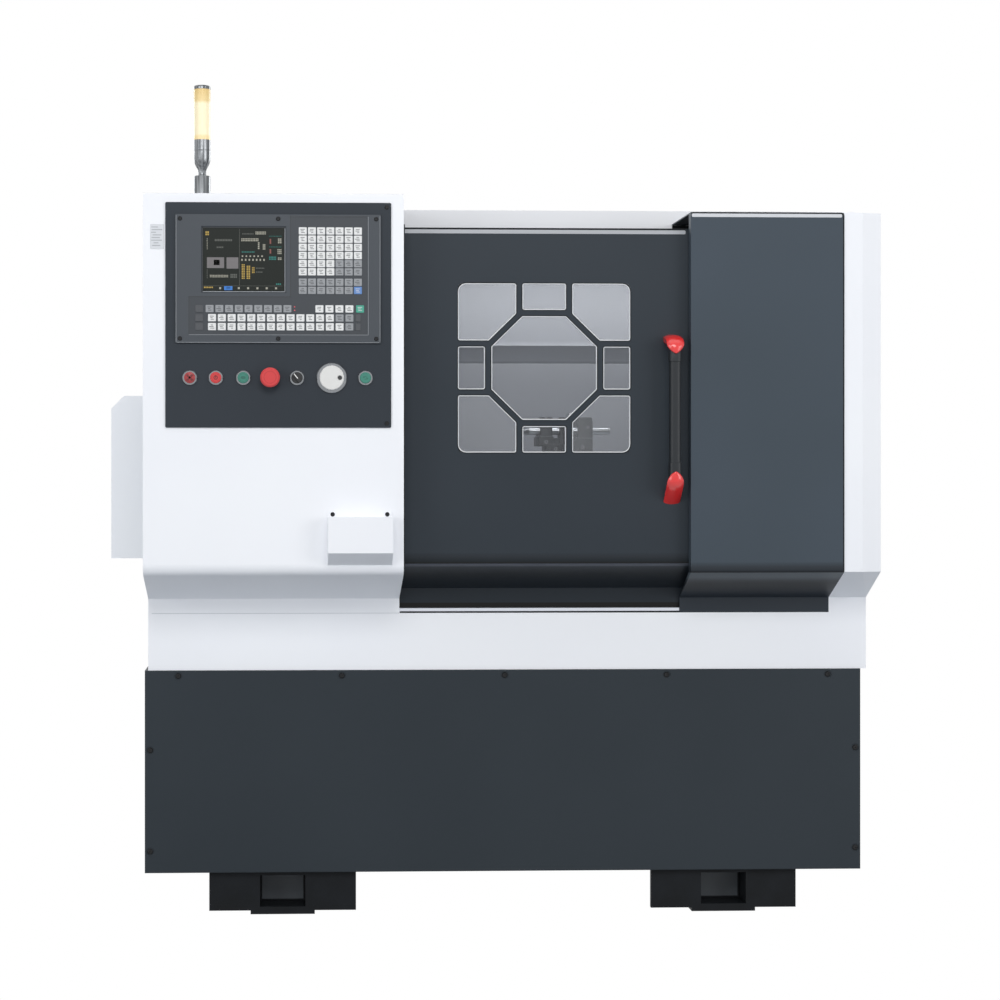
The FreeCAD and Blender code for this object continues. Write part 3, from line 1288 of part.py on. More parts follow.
def saddle():
    """The saddle: plate with a dovetail and a trough, four carriages, a screw nut."""
    half = "(saddle_deep / 2)"
    left = f"({SLIDE_MID} - saddle_long / 2)"
    tail = "(tail_wide / 2)"
    trough = "(cross_trough / 2)"
    tail_top = f"({PLATE_TOP} + tail_tall)"
    outline = [("-saddle_long / 2", PLATE_LOW), ("saddle_long / 2", PLATE_LOW),
               ("saddle_long / 2", PLATE_TOP), (f"{tail} - tail_slope", PLATE_TOP),
               (tail, tail_top), (trough, tail_top), (trough, f"{PLATE_TOP} - {trough}"),
               (f"-{trough}", f"{PLATE_TOP} - {trough}"), (f"-{trough}", tail_top),
               (f"-{tail}", tail_top), (f"-{tail} + tail_slope", PLATE_TOP),
               ("-saddle_long / 2", PLATE_TOP)]
    plate = profile("SaddlePlate", "XZ_Plane", outline, "saddle_deep",
                    at=(SLIDE_MID, SADDLE_FRONT, "0"))
    pieces = [plate]
    for side in "-+":
        way = f"({AXIS_Y} {side} way_pitch / 2)"
        for start in (left, f"({SLIDE_MID} + saddle_long / 2 - block_long)"):
            outline = [("-block_wide / 2", "block_lift"), ("-way_wide / 2 - run_fit", "block_lift"),
                       ("-way_wide / 2 - run_fit", "way_tall + run_fit"),
                       ("way_wide / 2 + run_fit", "way_tall + run_fit"),
                       ("way_wide / 2 + run_fit", "block_lift"), ("block_wide / 2", "block_lift"),
                       ("block_wide / 2", "block_tall"), ("-block_wide / 2", "block_tall")]
            pieces.append(profile("Carriage", "YZ_Plane", outline, "block_long",
                                  at=(start, way, BED_TOP)))
    nut = box("LongNut", (f"{SLIDE_MID} - nut_long / 2", f"{SLIDE_MID} + nut_long / 2"),
              (f"{AXIS_Y} - nut_wide / 2", f"{AXIS_Y} + nut_wide / 2"),
              (f"{SCREW_Z} - nut_low", PLATE_LOW))
    solid = fuse("SaddleSolid", pieces + [nut])
    bore = rod("LongBore", "x", "screw_round + run_fit", "nut_long + 2 * slack",
               f"{SLIDE_MID} - nut_long / 2 - slack", AXIS_Y, SCREW_Z)
    return keep(cut("Saddle", solid, [bore]), "saddle")


def servo(name, along, x, y, z):
    """A square servo motor with a slimmer body and a bored end for its screw's journal."""
    flange_thick = "servo_shaft"
    half = "servo_square / 2"
    slim = "(servo_square / 2 - servo_step)"
    if along == "x":
        flange = box(name, (x, f"{x} + {flange_thick}"), (f"{y} - {half}", f"{y} + {half}"),
                     (f"{z} - {half}", f"{z} + {half}"))
        case = box(name, (x, f"{x} + servo_long"), (f"{y} - {slim}", f"{y} + {slim}"),
                   (f"{z} - {slim}", f"{z} + {slim}"))
    else:
        flange = box(name, (f"{x} - {half}", f"{x} + {half}"), (y, f"{y} + {flange_thick}"),
                     (f"{z} - {half}", f"{z} + {half}"))
        case = box(name, (f"{x} - {slim}", f"{x} + {slim}"), (y, f"{y} + servo_long"),
                   (f"{z} - {slim}", f"{z} + {slim}"))
    start = (f"{x} - slack", y, z) if along == "x" else (x, f"{y} - slack", z)
    bore = rod(name, along, "servo_shaft + run_fit", "servo_long / 3 + slack", *start)
    return cut(name, fuse(f"{name}Solid", [flange, case]), [bore])


SERVO_X = f"({BED_RIGHT} + servo_stand)"


def long_screw():
    """The ball screw between the rails, its journal in the servo."""
    start = f"({BED_RIGHT} - way_end - way_long)"
    journal = f"({SERVO_X} + servo_long / 3 - {start})"
    thread = rod("LongThread", "x", "screw_round", f"{BED_RIGHT} - {start}", start, AXIS_Y,
                 SCREW_Z)
    shaft = rod("LongJournal", "x", "servo_shaft", journal, start, AXIS_Y, SCREW_Z)
    return keep(fuse("LongScrew", [thread, shaft]), "long_ball_screw")


def bearing_blocks():
    """The long screw's two pedestals in the bed's trough, and its servo's stand."""
    low = f"({BED_TOP} - trough_deep)"
    high = f"({SCREW_Z} + screw_round * 2)"
    half = "(trough_wide / 2 - slack)"
    first = f"({BED_RIGHT} - way_end - way_long)"
    last = f"({BED_RIGHT} - pedestal_long)"
    blocks = []
    for start in (first, last):
        block = box("Pedestal", (start, f"{start} + pedestal_long"),
                    (f"{AXIS_Y} - {half}", f"{AXIS_Y} + {half}"), (low, high))
        hole = rod("PedestalBore", "x", "screw_round + run_fit", "pedestal_long + 2 * slack",
                   f"{start} - slack", AXIS_Y, SCREW_Z)
        blocks.append(cut("PedestalCut", block, [hole]))
    plate = box("ServoStand", (BED_RIGHT, SERVO_X),
                (f"{AXIS_Y} - servo_square / 2", f"{AXIS_Y} + servo_square / 2"),
                (f"{SCREW_Z} - servo_square / 2", f"{SCREW_Z} + servo_square / 2"))
    hole = rod("StandBore", "x", "screw_round + slack", "servo_stand + 2 * slack",
               f"{BED_RIGHT} - slack", AXIS_Y, SCREW_Z)
    blocks.append(cut("ServoStandCut", plate, [hole]))
    return keep(group("Bearings", blocks), "screw_bearings")


def long_servo():
    return keep(servo("LongServo", "x", SERVO_X, AXIS_Y, SCREW_Z), "long_servo")


CROSS_SERVO = f"({SADDLE_BACK} + cross_stand)"


def cross_screw():
    """The ball screw in the saddle's trough, its journal in the rear servo."""
    start = f"({SADDLE_FRONT} + pedestal_long)"
    thread = rod("CrossThread", "y", "cross_round", f"{SADDLE_BACK} - {start}", SLIDE_MID, start,
                 CROSS_Z)
    shaft = rod("CrossJournal", "y", "servo_shaft * 0.7", f"{CROSS_SERVO} + servo_long / 3 - {start}",
                SLIDE_MID, start, CROSS_Z)
    return keep(fuse("CrossScrew", [thread, shaft]), "cross_ball_screw")


def cross_servo():
    """The rear servo, on a stand of its own against the saddle's back."""
    motor = servo("CrossServo", "y", SLIDE_MID, CROSS_SERVO, CROSS_Z)
    half = "servo_square / 2"
    stand = box("CrossStand", (f"{SLIDE_MID} - {half}", f"{SLIDE_MID} + {half}"),
                (SADDLE_BACK, CROSS_SERVO), (PLATE_LOW, f"{CROSS_Z} + {half}"))
    bore = rod("CrossStandBore", "y", "cross_round + slack", "cross_stand + 2 * slack",
               SLIDE_MID, f"{SADDLE_BACK} - slack", CROSS_Z)
    return keep(group("CrossDrive", [motor, cut("CrossStandCut", stand, [bore])]), "cross_servo")


def cross_slide():
    """The gang table: a dovetailed plate with T-slots across and a nut for its screw."""
    half = "(slide_long / 2)"
    tail = "(tail_wide / 2 + run_fit + slack * tail_slope / tail_tall)"
    roof = f"({PLATE_TOP} + tail_tall + slack)"
    outline = [(f"-{half}", SLIDE_LOW), (f"-{tail} + tail_slope", SLIDE_LOW), (f"-{tail}", roof),
               (tail, roof), (f"{tail} - tail_slope", SLIDE_LOW), (half, SLIDE_LOW),
               (half, SLIDE_TOP)]
    for place_x in (1, 0, -1):
        mid = f"{place_x} * slot_pitch"
        depth = f"({SLIDE_TOP} - slot_deep)"
        neck = f"({SLIDE_TOP} - slot_deep / 2)"
        outline += [(f"{mid} + slot_neck / 2", SLIDE_TOP), (f"{mid} + slot_neck / 2", neck),
                    (f"{mid} + slot_foot / 2", neck), (f"{mid} + slot_foot / 2", depth),
                    (f"{mid} - slot_foot / 2", depth), (f"{mid} - slot_foot / 2", neck),
                    (f"{mid} - slot_neck / 2", neck), (f"{mid} - slot_neck / 2", SLIDE_TOP)]
    outline += [(f"-{half}", SLIDE_TOP)]
    table = profile("Table", "XZ_Plane", outline, "slide_deep",
                    at=(SLIDE_MID, f"{AXIS_Y} - slide_deep / 2", "0"))
    nut = box("CrossNut", (f"{SLIDE_MID} - cross_trough / 2 + slack",
                           f"{SLIDE_MID} + cross_trough / 2 - slack"),
              (f"{AXIS_Y} - nut_long / 2", f"{AXIS_Y} + nut_long / 2"),
              (f"{CROSS_Z} - cross_trough / 2 + slack", f"{roof} + slack"))
    bore = rod("CrossBore", "y", "cross_round + run_fit", "nut_long + 2 * slack", SLIDE_MID,
               f"{AXIS_Y} - nut_long / 2 - slack", CROSS_Z)
    return keep(cut("CrossSlide", fuse("TableSolid", [table, nut]), [bore]), "cross_slide")


BORING_LEFT = f"({SLIDE_MID} - boring_in)"
SLEEVE_LEFT = f"({BORING_LEFT} + boring_wide + boring_gap)"


def tool_rows():
    """The bars' places front to back, in the middle of both blocks."""
    return [f"({AXIS_Y} + {i} * tool_pitch)" for i in (-1, 0, 1)]


def tool_block(name, left, wide, top):
    """A block on the gang table, bored for three round bars, split above each."""
    solid = box(name, (left, f"{left} + {wide}"),
                (f"{AXIS_Y} - boring_deep / 2", f"{AXIS_Y} + boring_deep / 2"),
                (SLIDE_TOP, f"{AXIS_Z} + {top}"))
    tools = []
    for row in tool_rows():
        tools.append(rod("BarHole", "x", "tool_round + run_fit", f"{wide} + 2 * slack",
                         f"{left} - slack", row, AXIS_Z))
        tools.append(box("Split", (f"{left} - slack", f"{left} + {wide} + slack"),
                         (f"{row} - slack * 3", f"{row} + slack * 3"),
                         (AXIS_Z, f"{AXIS_Z} + {top} + slack")))
    return cut(f"{name}Cut", solid, tools)


def tool_blocks():
    """The wide boring block and the narrow sleeve block beside it."""
    wide = tool_block("BoringBlock", BORING_LEFT, "boring_wide", "boring_top")
    narrow = tool_block("SleeveBlock", SLEEVE_LEFT, "sleeve_wide", "sleeve_top")
    return keep(group("ToolBlocks", [wide, narrow]), "tool_blocks")


def tool_bars():
    """Three ground bars through both blocks, each with a bevelled cutting end."""
    start = f"({BORING_LEFT} - tool_left)"
    end = f"({SLEEVE_LEFT} + sleeve_wide + tool_right)"
    bars = []
    for row in tool_rows():
        points = [(start, "0"), (start, "tool_round * 0.6"), (f"{start} + tool_round", "tool_round"),
                  (f"{end} - slack * 3", "tool_round"), (end, "tool_round - slack * 3"), (end, "0")]
        bars.append(turned("Bar", "XY_Plane", points, ("0", row, AXIS_Z)))
    return keep(group("Bars", bars), "tool_bars")


def coolant_hose():
    """A bent metal coolant pipe on the gang table with a tapered nozzle."""
    x = f"({SLEEVE_LEFT} - boring_gap / 2)"
    y = f"({AXIS_Y} + boring_deep / 2 + hose_back)"
    high = f"({AXIS_Z} + hose_high)"
    foot = rod("HoseFoot", "z", "hose_round * 1.8", "hose_round * 2", x, y, SLIDE_TOP)
    riser = rod("HoseRise", "z", "hose_round", f"{high} - {SLIDE_TOP}", x, y, SLIDE_TOP)
    elbow = doc.addObject("Part::Torus", "HoseElbow")
    elbow.setExpression("Radius1", bound("hose_turn"))
    elbow.setExpression("Radius2", bound("hose_round"))
    elbow.Angle3 = 90
    place(elbow, x, f"{y} - hose_turn", high, Rotation(Vector(0, 0, 1), 90)
          .multiply(Rotation(Vector(1, 0, 0), 90)))
    nozzle = doc.addObject("Part::Cone", "HoseNozzle")
    nozzle.setExpression("Radius1", bound("hose_round"))
    nozzle.setExpression("Radius2", bound("hose_round / 2"))
    nozzle.setExpression("Height", bound("hose_turn"))
    place(nozzle, x, f"{y} - hose_turn", f"{high} + hose_turn", Rotation(Vector(1, 0, 0), 90))
    return keep(fuse("Hose", [foot, riser, elbow, nozzle]), "coolant_hose")


def chamber_liner():
    """The grey sheets round the work space: two end walls and a back wall with a ledge."""
    left = f"({HEAD_RIGHT} + liner_head)"
    right = f"({COVER_RIGHT} - liner_in)"
    front = f"({SKIRT} + liner_front)"
    back = f"({SKIRT} + liner_back)"
    low = f"({BED_TOP} + liner_low)"
    high = f"({ROOF} - header_drop)"
    outline = [(left, front), (left, back), (right, back), (right, front),
               (f"{right} - sheet", front), (f"{right} - sheet", f"{back} - sheet"),
               (f"{left} + sheet", f"{back} - sheet"), (f"{left} + sheet", front)]
    folded = profile("Liner", "XY_Plane", outline, f"{high} - {low}", at=("0", "0", low))
    hole = rod("LinerHole", "x", "liner_hole", "sheet * 3", f"{left} - sheet", AXIS_Y, AXIS_Z)
    wall = f"({back} - sheet)"
    brow = f"({wall} - ledge_out)"
    turn = f"({high} - ledge_drop)"
    ledge = [(wall, f"{turn} - ledge_slope"), (brow, turn), (brow, high), (f"{brow} + sheet", high),
             (f"{brow} + sheet", f"{turn} + sheet / 2"), (wall, f"{turn} - ledge_slope + sheet")]
    upper = profile("LinerLedge", "YZ_Plane", ledge, f"{right} - {left} - 2 * sheet",
                    at=(f"{left} + sheet", "0", "0"))
    liner = fuse("LinerSheets", [folded, upper])
    return keep(cut("LinerCut", liner, [hole]), "chamber_liner")


# ---------------------------------------------------------------- control panel

PLATE_LEFT = f"({LEFT} + plate_left)"
PLATE_HIGH = f"({ROOF} - plate_drop)"
PLATE_BASE = f"({PLATE_HIGH} - plate_tall)"
ROW_Z = f"({PLATE_BASE} + button_row)"
FRAME_LEFT = f"({PLATE_LEFT} + frame_left)"
FRAME_TOP = f"({PLATE_HIGH} - frame_drop)"
FRAME_FACE = f"({PLATE} - frame_out)"
SCREEN_LEFT = f"({FRAME_LEFT} + screen_left)"
SCREEN_TOP = f"({FRAME_TOP} - screen_drop)"
CONTROLS = ("lamp_place", "red_place", "green_place", "stop_place", "select_place",
            "wheel_place", "cycle_place")


def panel_places():
    """Screws of the control plate, at its right side, and of the controller's frame."""
    right = f"{PLATE_LEFT} + plate_wide - panel_edge"
    places = [(right, PLATE, f"{PLATE_HIGH} - panel_edge"),
              (right, PLATE, f"{PLATE_BASE} + panel_edge")]
    for column in range(3):
        x = f"{FRAME_LEFT} + panel_edge + {column} * (frame_wide - 2 * panel_edge) / 2"
        for z in (f"{FRAME_TOP} - panel_edge", f"{FRAME_TOP} - frame_tall + panel_edge"):
            places.append((x, FRAME_FACE, z))
    return places


def panel_taps():
    """The holes those screws sit in, as tools."""
    return [rod("PanelTap", "y", "panel_shank / 2 + run_fit", "panel_shank_long + slack",
                x, y, z) for x, y, z in panel_places()]


def control_plate():
    """The dark plate on the housing, cut for the controller and seven controls."""
    outline = rectangle("0", "plate_wide", PLATE_BASE, PLATE_HIGH)
    seat = rectangle("frame_left + frame_step", "frame_left + frame_wide - frame_step",
                     f"{FRAME_TOP} - frame_tall + frame_step", f"{FRAME_TOP} - frame_step")
    holes = [(where, ROW_Z, "button_bore + slack") for where in CONTROLS]
    body = profile("Plate", "XZ_Plane", outline, "plate_thick", circles=holes, more=[seat],
                   at=(PLATE_LEFT, PLATE, "0"))
    rounded(body, lambda e: extends(e, "Y") and
            (e.BoundBox.XMax < CLOSE or near(e.BoundBox.XMin, "plate_wide")), "plate_thick")
    return keep(cut("PlateCut", body, panel_taps()), "control_plate")


def controller_frame():
    """The controller's case with its face frame, hollowed for the screen and the keys."""
    right = f"({FRAME_LEFT} + frame_wide)"
    low = f"({FRAME_TOP} - frame_tall)"
    step = "(frame_step + slack)"
    face = box("FrameFace", (FRAME_LEFT, right), (FRAME_FACE, PLATE), (low, FRAME_TOP))
    case = box("FrameCase", (f"{FRAME_LEFT} + {step}", f"{right} - {step}"),
               (PLATE, f"{PLATE} + plate_thick + frame_in"),
               (f"{low} + {step}", f"{FRAME_TOP} - {step}"))
    flare = profile("ScreenFlare", "XZ_Plane", rectangle(
        f"{SCREEN_LEFT} - screen_lip", f"{SCREEN_LEFT} + screen_wide + screen_lip",
        f"{SCREEN_TOP} - screen_tall - screen_lip", f"{SCREEN_TOP} + screen_lip"),
        "screen_lip + slack", at=("0", f"{FRAME_FACE} - slack", "0"))
    chamfered(flare, lambda e: not extends(e, "Y") and e.BoundBox.YMin > CLOSE, "screen_lip")
    window = box("ScreenWell", (SCREEN_LEFT, f"{SCREEN_LEFT} + screen_wide"),
                 (f"{FRAME_FACE} - slack", f"{FRAME_FACE} + screen_deep"),
                 (f"{SCREEN_TOP} - screen_tall", SCREEN_TOP))
    keys = key_outline("KeyWell", "0", f"{FRAME_FACE} - slack", "key_deep + slack")
    return keep(cut("Frame", fuse("FrameSolid", [face, case]), [window, flare, keys] + panel_taps()),
                "controller_frame")


def key_outline(name, inset, y, thick):
    """The key film's L shape: beside the screen and below it."""
    left = f"({FRAME_LEFT} + key_side + {inset})"
    right = f"({FRAME_LEFT} + frame_wide - key_side - {inset})"
    low = f"({FRAME_TOP} - frame_tall + key_low + {inset})"
    high = f"({FRAME_TOP} - key_top - {inset})"
    mid_x = f"({SCREEN_LEFT} + screen_wide + key_edge + {inset})"
    mid_z = f"({SCREEN_TOP} - screen_tall - key_edge - {inset})"
    outline = [(left, low), (right, low), (right, high), (mid_x, high), (mid_x, mid_z),
               (left, mid_z)]
    return profile(name, "XZ_Plane", outline, thick, at=("0", y, "0"))


def key_film():
    """The sealed key film: one sheet with its keys embossed."""
    film = key_outline("KeyFilm", "slack", f"{FRAME_FACE} + key_deep - key_thick", "key_thick")
    return keep(film, "key_film")


def screen_glass():
    back = f"({FRAME_FACE} + screen_deep)"
    glass = box("Glass", (f"{SCREEN_LEFT} + slack", f"{SCREEN_LEFT} + screen_wide - slack"),
                (f"{back} - screen_thick", back),
                (f"{SCREEN_TOP} - screen_tall + slack", f"{SCREEN_TOP} - slack"))
    return keep(glass, "screen_glass")


def cover_screws():
    """The black dome screws of the stand's cover, the panel and the port cover."""
    seat = f"{FRONT} + seat_deep"
    heads = [dome_screw("CoverScrew", x, seat, z, "screw_head", "screw_bore", "screw_dome",
                        "screw_long") for x, z in screw_places()]
    heads += [dome_screw("PanelScrew", x, y, z, "panel_head", "panel_shank", "panel_dome",
                         "panel_shank_long") for x, y, z in panel_places() + port_screws()]
    return keep(group("CoverScrews", heads), "cover_screws")


def control(name, where, points):
    """A round control: each point is a radius and a distance out from the plate."""
    return turned(name, "XZ_Plane", points, (f"{PLATE_LEFT} + {where}", PLATE, ROW_Z), OUTWARD)


def bezels():
    """The fixed rings: one for each button, the selector, the stop and the handwheel."""
    rings = []
    for where in CONTROLS:
        outer = "wheel_ring" if where == "wheel_place" else "button_ring"
        bore = "wheel_shaft + run_fit" if where == "wheel_place" else "button_cap + button_fit"
        if where == "stop_place":
            bore = "stop_neck + button_fit"
        barrel = [(bore, "-button_in"), ("button_bore", "-button_in")]
        if bore.startswith("button_cap"):
            bore_low = "button_cap - button_step + button_fit"
            points = [(bore_low, "-button_in"), ("button_bore", "-button_in"),
                      ("button_bore", "0"), (outer, "0"), (outer, "ring_out - sheet / 2"),
                      (f"{outer} - sheet / 2", "ring_out"), (bore, "ring_out"),
                      (bore, "ring_floor"), (bore_low, "ring_floor")]
        else:
            points = barrel + [("button_bore", "0"), (outer, "0"),
                               (outer, "ring_out - sheet / 2"),
                               (f"{outer} - sheet / 2", "ring_out"), (bore, "ring_out")]
        rings.append(control("Bezel", where, points))
    return keep(group("Bezels", rings), "button_bezels")


def cap_points(face):
    """A cap on a slimmer plunger, from the plunger's end to the middle of the cap."""
    plunger = "(button_cap - button_step)"
    under = "(ring_floor + button_travel + slack)"
    return [("0", "button_travel - button_in"), (plunger, "button_travel - button_in"),
            (plunger, under), ("button_cap", under), ("button_cap", f"{face} - button_edge"),
            ("button_cap - button_edge", face), ("0", face)]


def push_button(label, where):
    return keep(control("Button", where, cap_points("button_out")), label)


def power_lamp():
    """The red indicator lamp, a faceted dome that sits still in its bezel."""
    points = cap_points("button_out")[:-2] + [("button_cap * 0.6", "button_out + button_edge"),
                                             ("0", "button_out + button_edge * 1.5")]
    return keep(control("Lamp", "lamp_place", points), "power_lamp")


def stop_stem():
    """The emergency stop's plunger: it is pushed in and springs back on release."""
    points = [("0", "stop_travel - button_in"), ("stop_neck", "stop_travel - button_in"),
              ("stop_neck", "stop_out - stop_crown"), ("0", "stop_out - stop_crown")]
    return keep(control("StopStem", "stop_place", points), "emergency_stop_stem")


def stop_head():
    """The mushroom head, turned on its stem to release it."""
    under = "(stop_out - stop_crown - stop_skirt)"
    points = [("stop_neck + run_fit", under), ("stop_head - button_edge", under),
              ("stop_head", f"{under} + button_edge"), ("stop_head", "stop_out - stop_crown / 2"),
              ("stop_head - stop_crown / 2", "stop_out"), ("0", "stop_out"),
              ("0", "stop_out - stop_crown + slack"),
              ("stop_neck + run_fit", "stop_out - stop_crown + slack")]
    return keep(control("StopHead", "stop_place", points), "emergency_stop_head")


# Degrees that the selector's grip leans to the left at rest.
SELECTOR_LEAN = 40


def mode_selector():
    """A black rotary selector with a raised grip across its cap."""
    cap = control("Selector", "select_place", cap_points("button_out"))
    grip = doc.addObject("Part::Box", "Grip")
    grip.setExpression("Length", bound("grip_wide"))
    grip.setExpression("Width", bound("grip_tall"))
    grip.setExpression("Height", bound("button_cap * 1.8"))
    lean = Rotation(Vector(0, 1, 0), -SELECTOR_LEAN)
    grip.Placement.Rotation = lean
    sine, cosine = math.sin(math.radians(SELECTOR_LEAN)), math.cos(math.radians(SELECTOR_LEAN))
    half = "button_cap * 0.9"
    x = f"{PLATE_LEFT} + select_place - grip_wide / 2 * {cosine} + {half} * {sine}"
    z = f"{ROW_Z} - grip_wide / 2 * {sine} - {half} * {cosine}"
    place(grip, x, f"{PLATE} - button_out - grip_tall", z)
    return keep(fuse("SelectorKnob", [cap, grip]), "mode_selector")


def handwheel():
    """The white disc turned by one finger in its dimple, on a shaft through the plate."""
    disc = control("Wheel", "wheel_place", [
        ("0", "-button_in"), ("wheel_shaft", "-button_in"), ("wheel_shaft", "ring_out + slack"),
        ("wheel_round", "ring_out + slack"), ("wheel_round", "wheel_out - button_edge"),
        ("wheel_round - button_edge", "wheel_out"), ("0", "wheel_out")])
    dimple = doc.addObject("Part::Sphere", "Dimple")
    dimple.setExpression("Radius", bound("dimple_round"))
    place(dimple, f"{PLATE_LEFT} + wheel_place + wheel_round * 0.66",
          f"{PLATE} - wheel_out - dimple_round / 2", ROW_Z)
    return keep(cut("WheelCut", disc, [dimple]), "handwheel")


# ---------------------------------------------------------------- signal lamp

LAMP_X = f"({LEFT} + lamp_left)"
LAMP_Y = f"({COVER} + lamp_back)"
LENS_LOW = "(machine_tall + stem_high + taper_high + holder_high)"


def lamp_fittings():
    """The signal lamp's metal pieces: foot with stem and lens holder, and the cap."""
    stem_top = "machine_tall + stem_high"
    points = [("0", ROOF), ("lamp_foot", ROOF), ("lamp_foot", f"{ROOF} + foot_high / 2"),
              ("lamp_stem * 1.3", f"{ROOF} + foot_high"), ("lamp_stem * 1.3", f"{ROOF} + socket_high"),
              ("lamp_stem", f"{ROOF} + socket_high"), ("lamp_stem", stem_top),
              ("lamp_round", f"{stem_top} + taper_high"), ("lamp_round", LENS_LOW), ("0", LENS_LOW)]
    stand = turned("LampStand", "XZ_Plane", points, (LAMP_X, LAMP_Y, "0"))
    low = f"({LENS_LOW} + lens_tall)"
    points = [("0", low), ("lamp_round", low), ("lamp_round", f"{low} + cap_high / 2"),
              ("lamp_round - cap_high / 2", f"{low} + cap_high"), ("0", f"{low} + cap_high")]
    cap = turned("LampCap", "XZ_Plane", points, (LAMP_X, LAMP_Y, "0"))
    return keep(group("LampMetal", [stand, cap]), "signal_lamp_fittings")


def lamp_lens():
    """The clear drum of the signal lamp."""
    top = f"({LENS_LOW} + lens_tall)"
    points = [("0", LENS_LOW), ("lamp_round - slack", LENS_LOW), ("lamp_round - slack", top),
              ("0", top)]
    return keep(turned("Lens", "XZ_Plane", points, (LAMP_X, LAMP_Y, "0")), "signal_lamp_lens")


# ---------------------------------------------------------------- the whole machine

feet("left_feet", "-")
feet("right_feet", "+")
machine_base()
base_front_cover()
coolant_tray()
control_housing()
right_cover()
right_side_panel()
left_side_panel()
back_panel()
hood()
belt_guard()
port_cover()
door_panel()
window_pane()
door_handle()
handle_caps()
door_top_rail()
door_top_plate()
door_sill_rail()
bed_casting()
headstock()
spindle()
spindle_pulley()
motor_pulley()
drive_belt()
spindle_motor()
motor_pedestal()
chuck_body()
for third in range(3):
    chuck_jaw(third)
linear_rails()
saddle()
long_screw()
bearing_blocks()
long_servo()
cross_screw()
cross_servo()
cross_slide()
tool_blocks()
tool_bars()
coolant_hose()
chamber_liner()
control_plate()
controller_frame()
key_film()
screen_glass()
cover_screws()
bezels()
power_lamp()
push_button("stop_button", "red_place")
push_button("start_button", "green_place")
push_button("cycle_button", "cycle_place")
stop_stem()
stop_head()
mode_selector()
handwheel()
lamp_fittings()
lamp_lens()

doc.recompute()

for item in doc.Objects:
    for state in ("Invalid", "Error"):
        if state in item.State:
            raise RuntimeError(f"{item.Name} ({item.Label}) is {state}")
labels = [item.Label for item in PARTS]
if len(set(labels)) != len(labels):
    raise RuntimeError("two pieces share a name")
for item in PARTS:
    if item.Shape.isNull() or not item.Shape.isValid():
        raise RuntimeError(f"{item.Label} has no valid shape")

os.makedirs("parts", exist_ok=True)
for item in PARTS:
    item.Shape.exportStep(os.path.join("parts", f"{item.Label}.step"))
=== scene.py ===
import math

import bmesh
import bpy
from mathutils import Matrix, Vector


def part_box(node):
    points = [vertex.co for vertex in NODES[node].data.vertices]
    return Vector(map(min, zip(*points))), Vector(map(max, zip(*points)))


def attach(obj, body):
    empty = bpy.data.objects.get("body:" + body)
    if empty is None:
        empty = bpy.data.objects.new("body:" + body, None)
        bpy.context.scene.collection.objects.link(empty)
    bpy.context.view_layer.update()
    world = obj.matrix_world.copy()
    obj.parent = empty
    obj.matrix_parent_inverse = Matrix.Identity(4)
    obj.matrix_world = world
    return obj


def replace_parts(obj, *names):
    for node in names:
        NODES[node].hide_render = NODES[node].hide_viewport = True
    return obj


# Small CNC turning lathe: looks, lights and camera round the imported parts. Metres, +X to the
# operator's right, +Y to the back, +Z up, the origin on the floor below the machine's middle.

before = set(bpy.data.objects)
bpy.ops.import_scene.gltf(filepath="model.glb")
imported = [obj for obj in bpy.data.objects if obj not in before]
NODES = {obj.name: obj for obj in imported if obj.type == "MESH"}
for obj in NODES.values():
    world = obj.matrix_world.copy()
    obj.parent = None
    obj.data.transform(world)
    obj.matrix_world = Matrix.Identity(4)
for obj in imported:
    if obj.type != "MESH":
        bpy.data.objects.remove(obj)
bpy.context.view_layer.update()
MM = 0.001


def low(name):
    """The lowest corner of a node's box."""
    return Vector(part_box(name)[0])


def high(name):
    """The highest corner of a node's box."""
    return Vector(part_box(name)[1])


# ---------------------------------------------------------------- materials

# The part of a soft pattern's range over which a colour drifts, and how far apart the tones of
# a sprayed coat lie.
DRIFT_FROM, DRIFT_TO = 0.35, 0.65
COAT_DRIFT_MM = 420


def linear(code):
    """An sRGB hex colour as linear RGBA."""
    values = [int(code[i:i + 2], 16) / 255 for i in (0, 2, 4)]
    return [v / 12.92 if v <= 0.04045 else ((v + 0.055) / 1.055) ** 2.4 for v in values] + [1.0]


def add(tree, kind, values=None, links=None, **settings):
    """A node with its settings, input values and input links."""
    made = tree.nodes.new(kind)
    for key, value in settings.items():
        setattr(made, key, value)
    for socket, value in (values or {}).items():
        made.inputs[socket].default_value = value
    for socket, source in (links or {}).items():
        tree.links.new(source, made.inputs[socket])
    return made


def principled(material):
    return material.node_tree.nodes["Principled BSDF"]


def surface(name, code, rough, **more):
    """A material named for the real one; more holds other sockets of its shader."""
    material = bpy.data.materials.new(name)
    material.use_nodes = True
    shader = principled(material)
    shader.inputs["Base Color"].default_value = linear(code)
    shader.inputs["Roughness"].default_value = rough
    for socket, value in more.items():
        shader.inputs[socket.replace("_", " ")].default_value = value
    material.diffuse_color = linear(code)
    return material


def blotches(tree, size_mm, detail, stretch):
    """A soft pattern whose blotches are size_mm across, measured on the object."""
    where = add(tree, "ShaderNodeTexCoord")
    scaled = add(tree, "ShaderNodeMapping", {"Scale": stretch}, {"Vector": where.outputs["Object"]})
    cloud = add(tree, "ShaderNodeTexNoise", {"Scale": 1 / (size_mm * MM), "Detail": detail},
                {"Vector": scaled.outputs["Vector"]})
    return cloud.outputs["Fac"]


def grained(material, size_mm, depth_mm, detail=2.0, stretch=(1, 1, 1)):
    """Fine relief of the surface: orange peel, sand texture or tool marks."""
    tree = material.node_tree
    bump = add(tree, "ShaderNodeBump", {"Strength": 1.0, "Distance": depth_mm * MM},
               {"Height": blotches(tree, size_mm, detail, stretch)})
    tree.links.new(bump.outputs["Normal"], principled(material).inputs["Normal"])


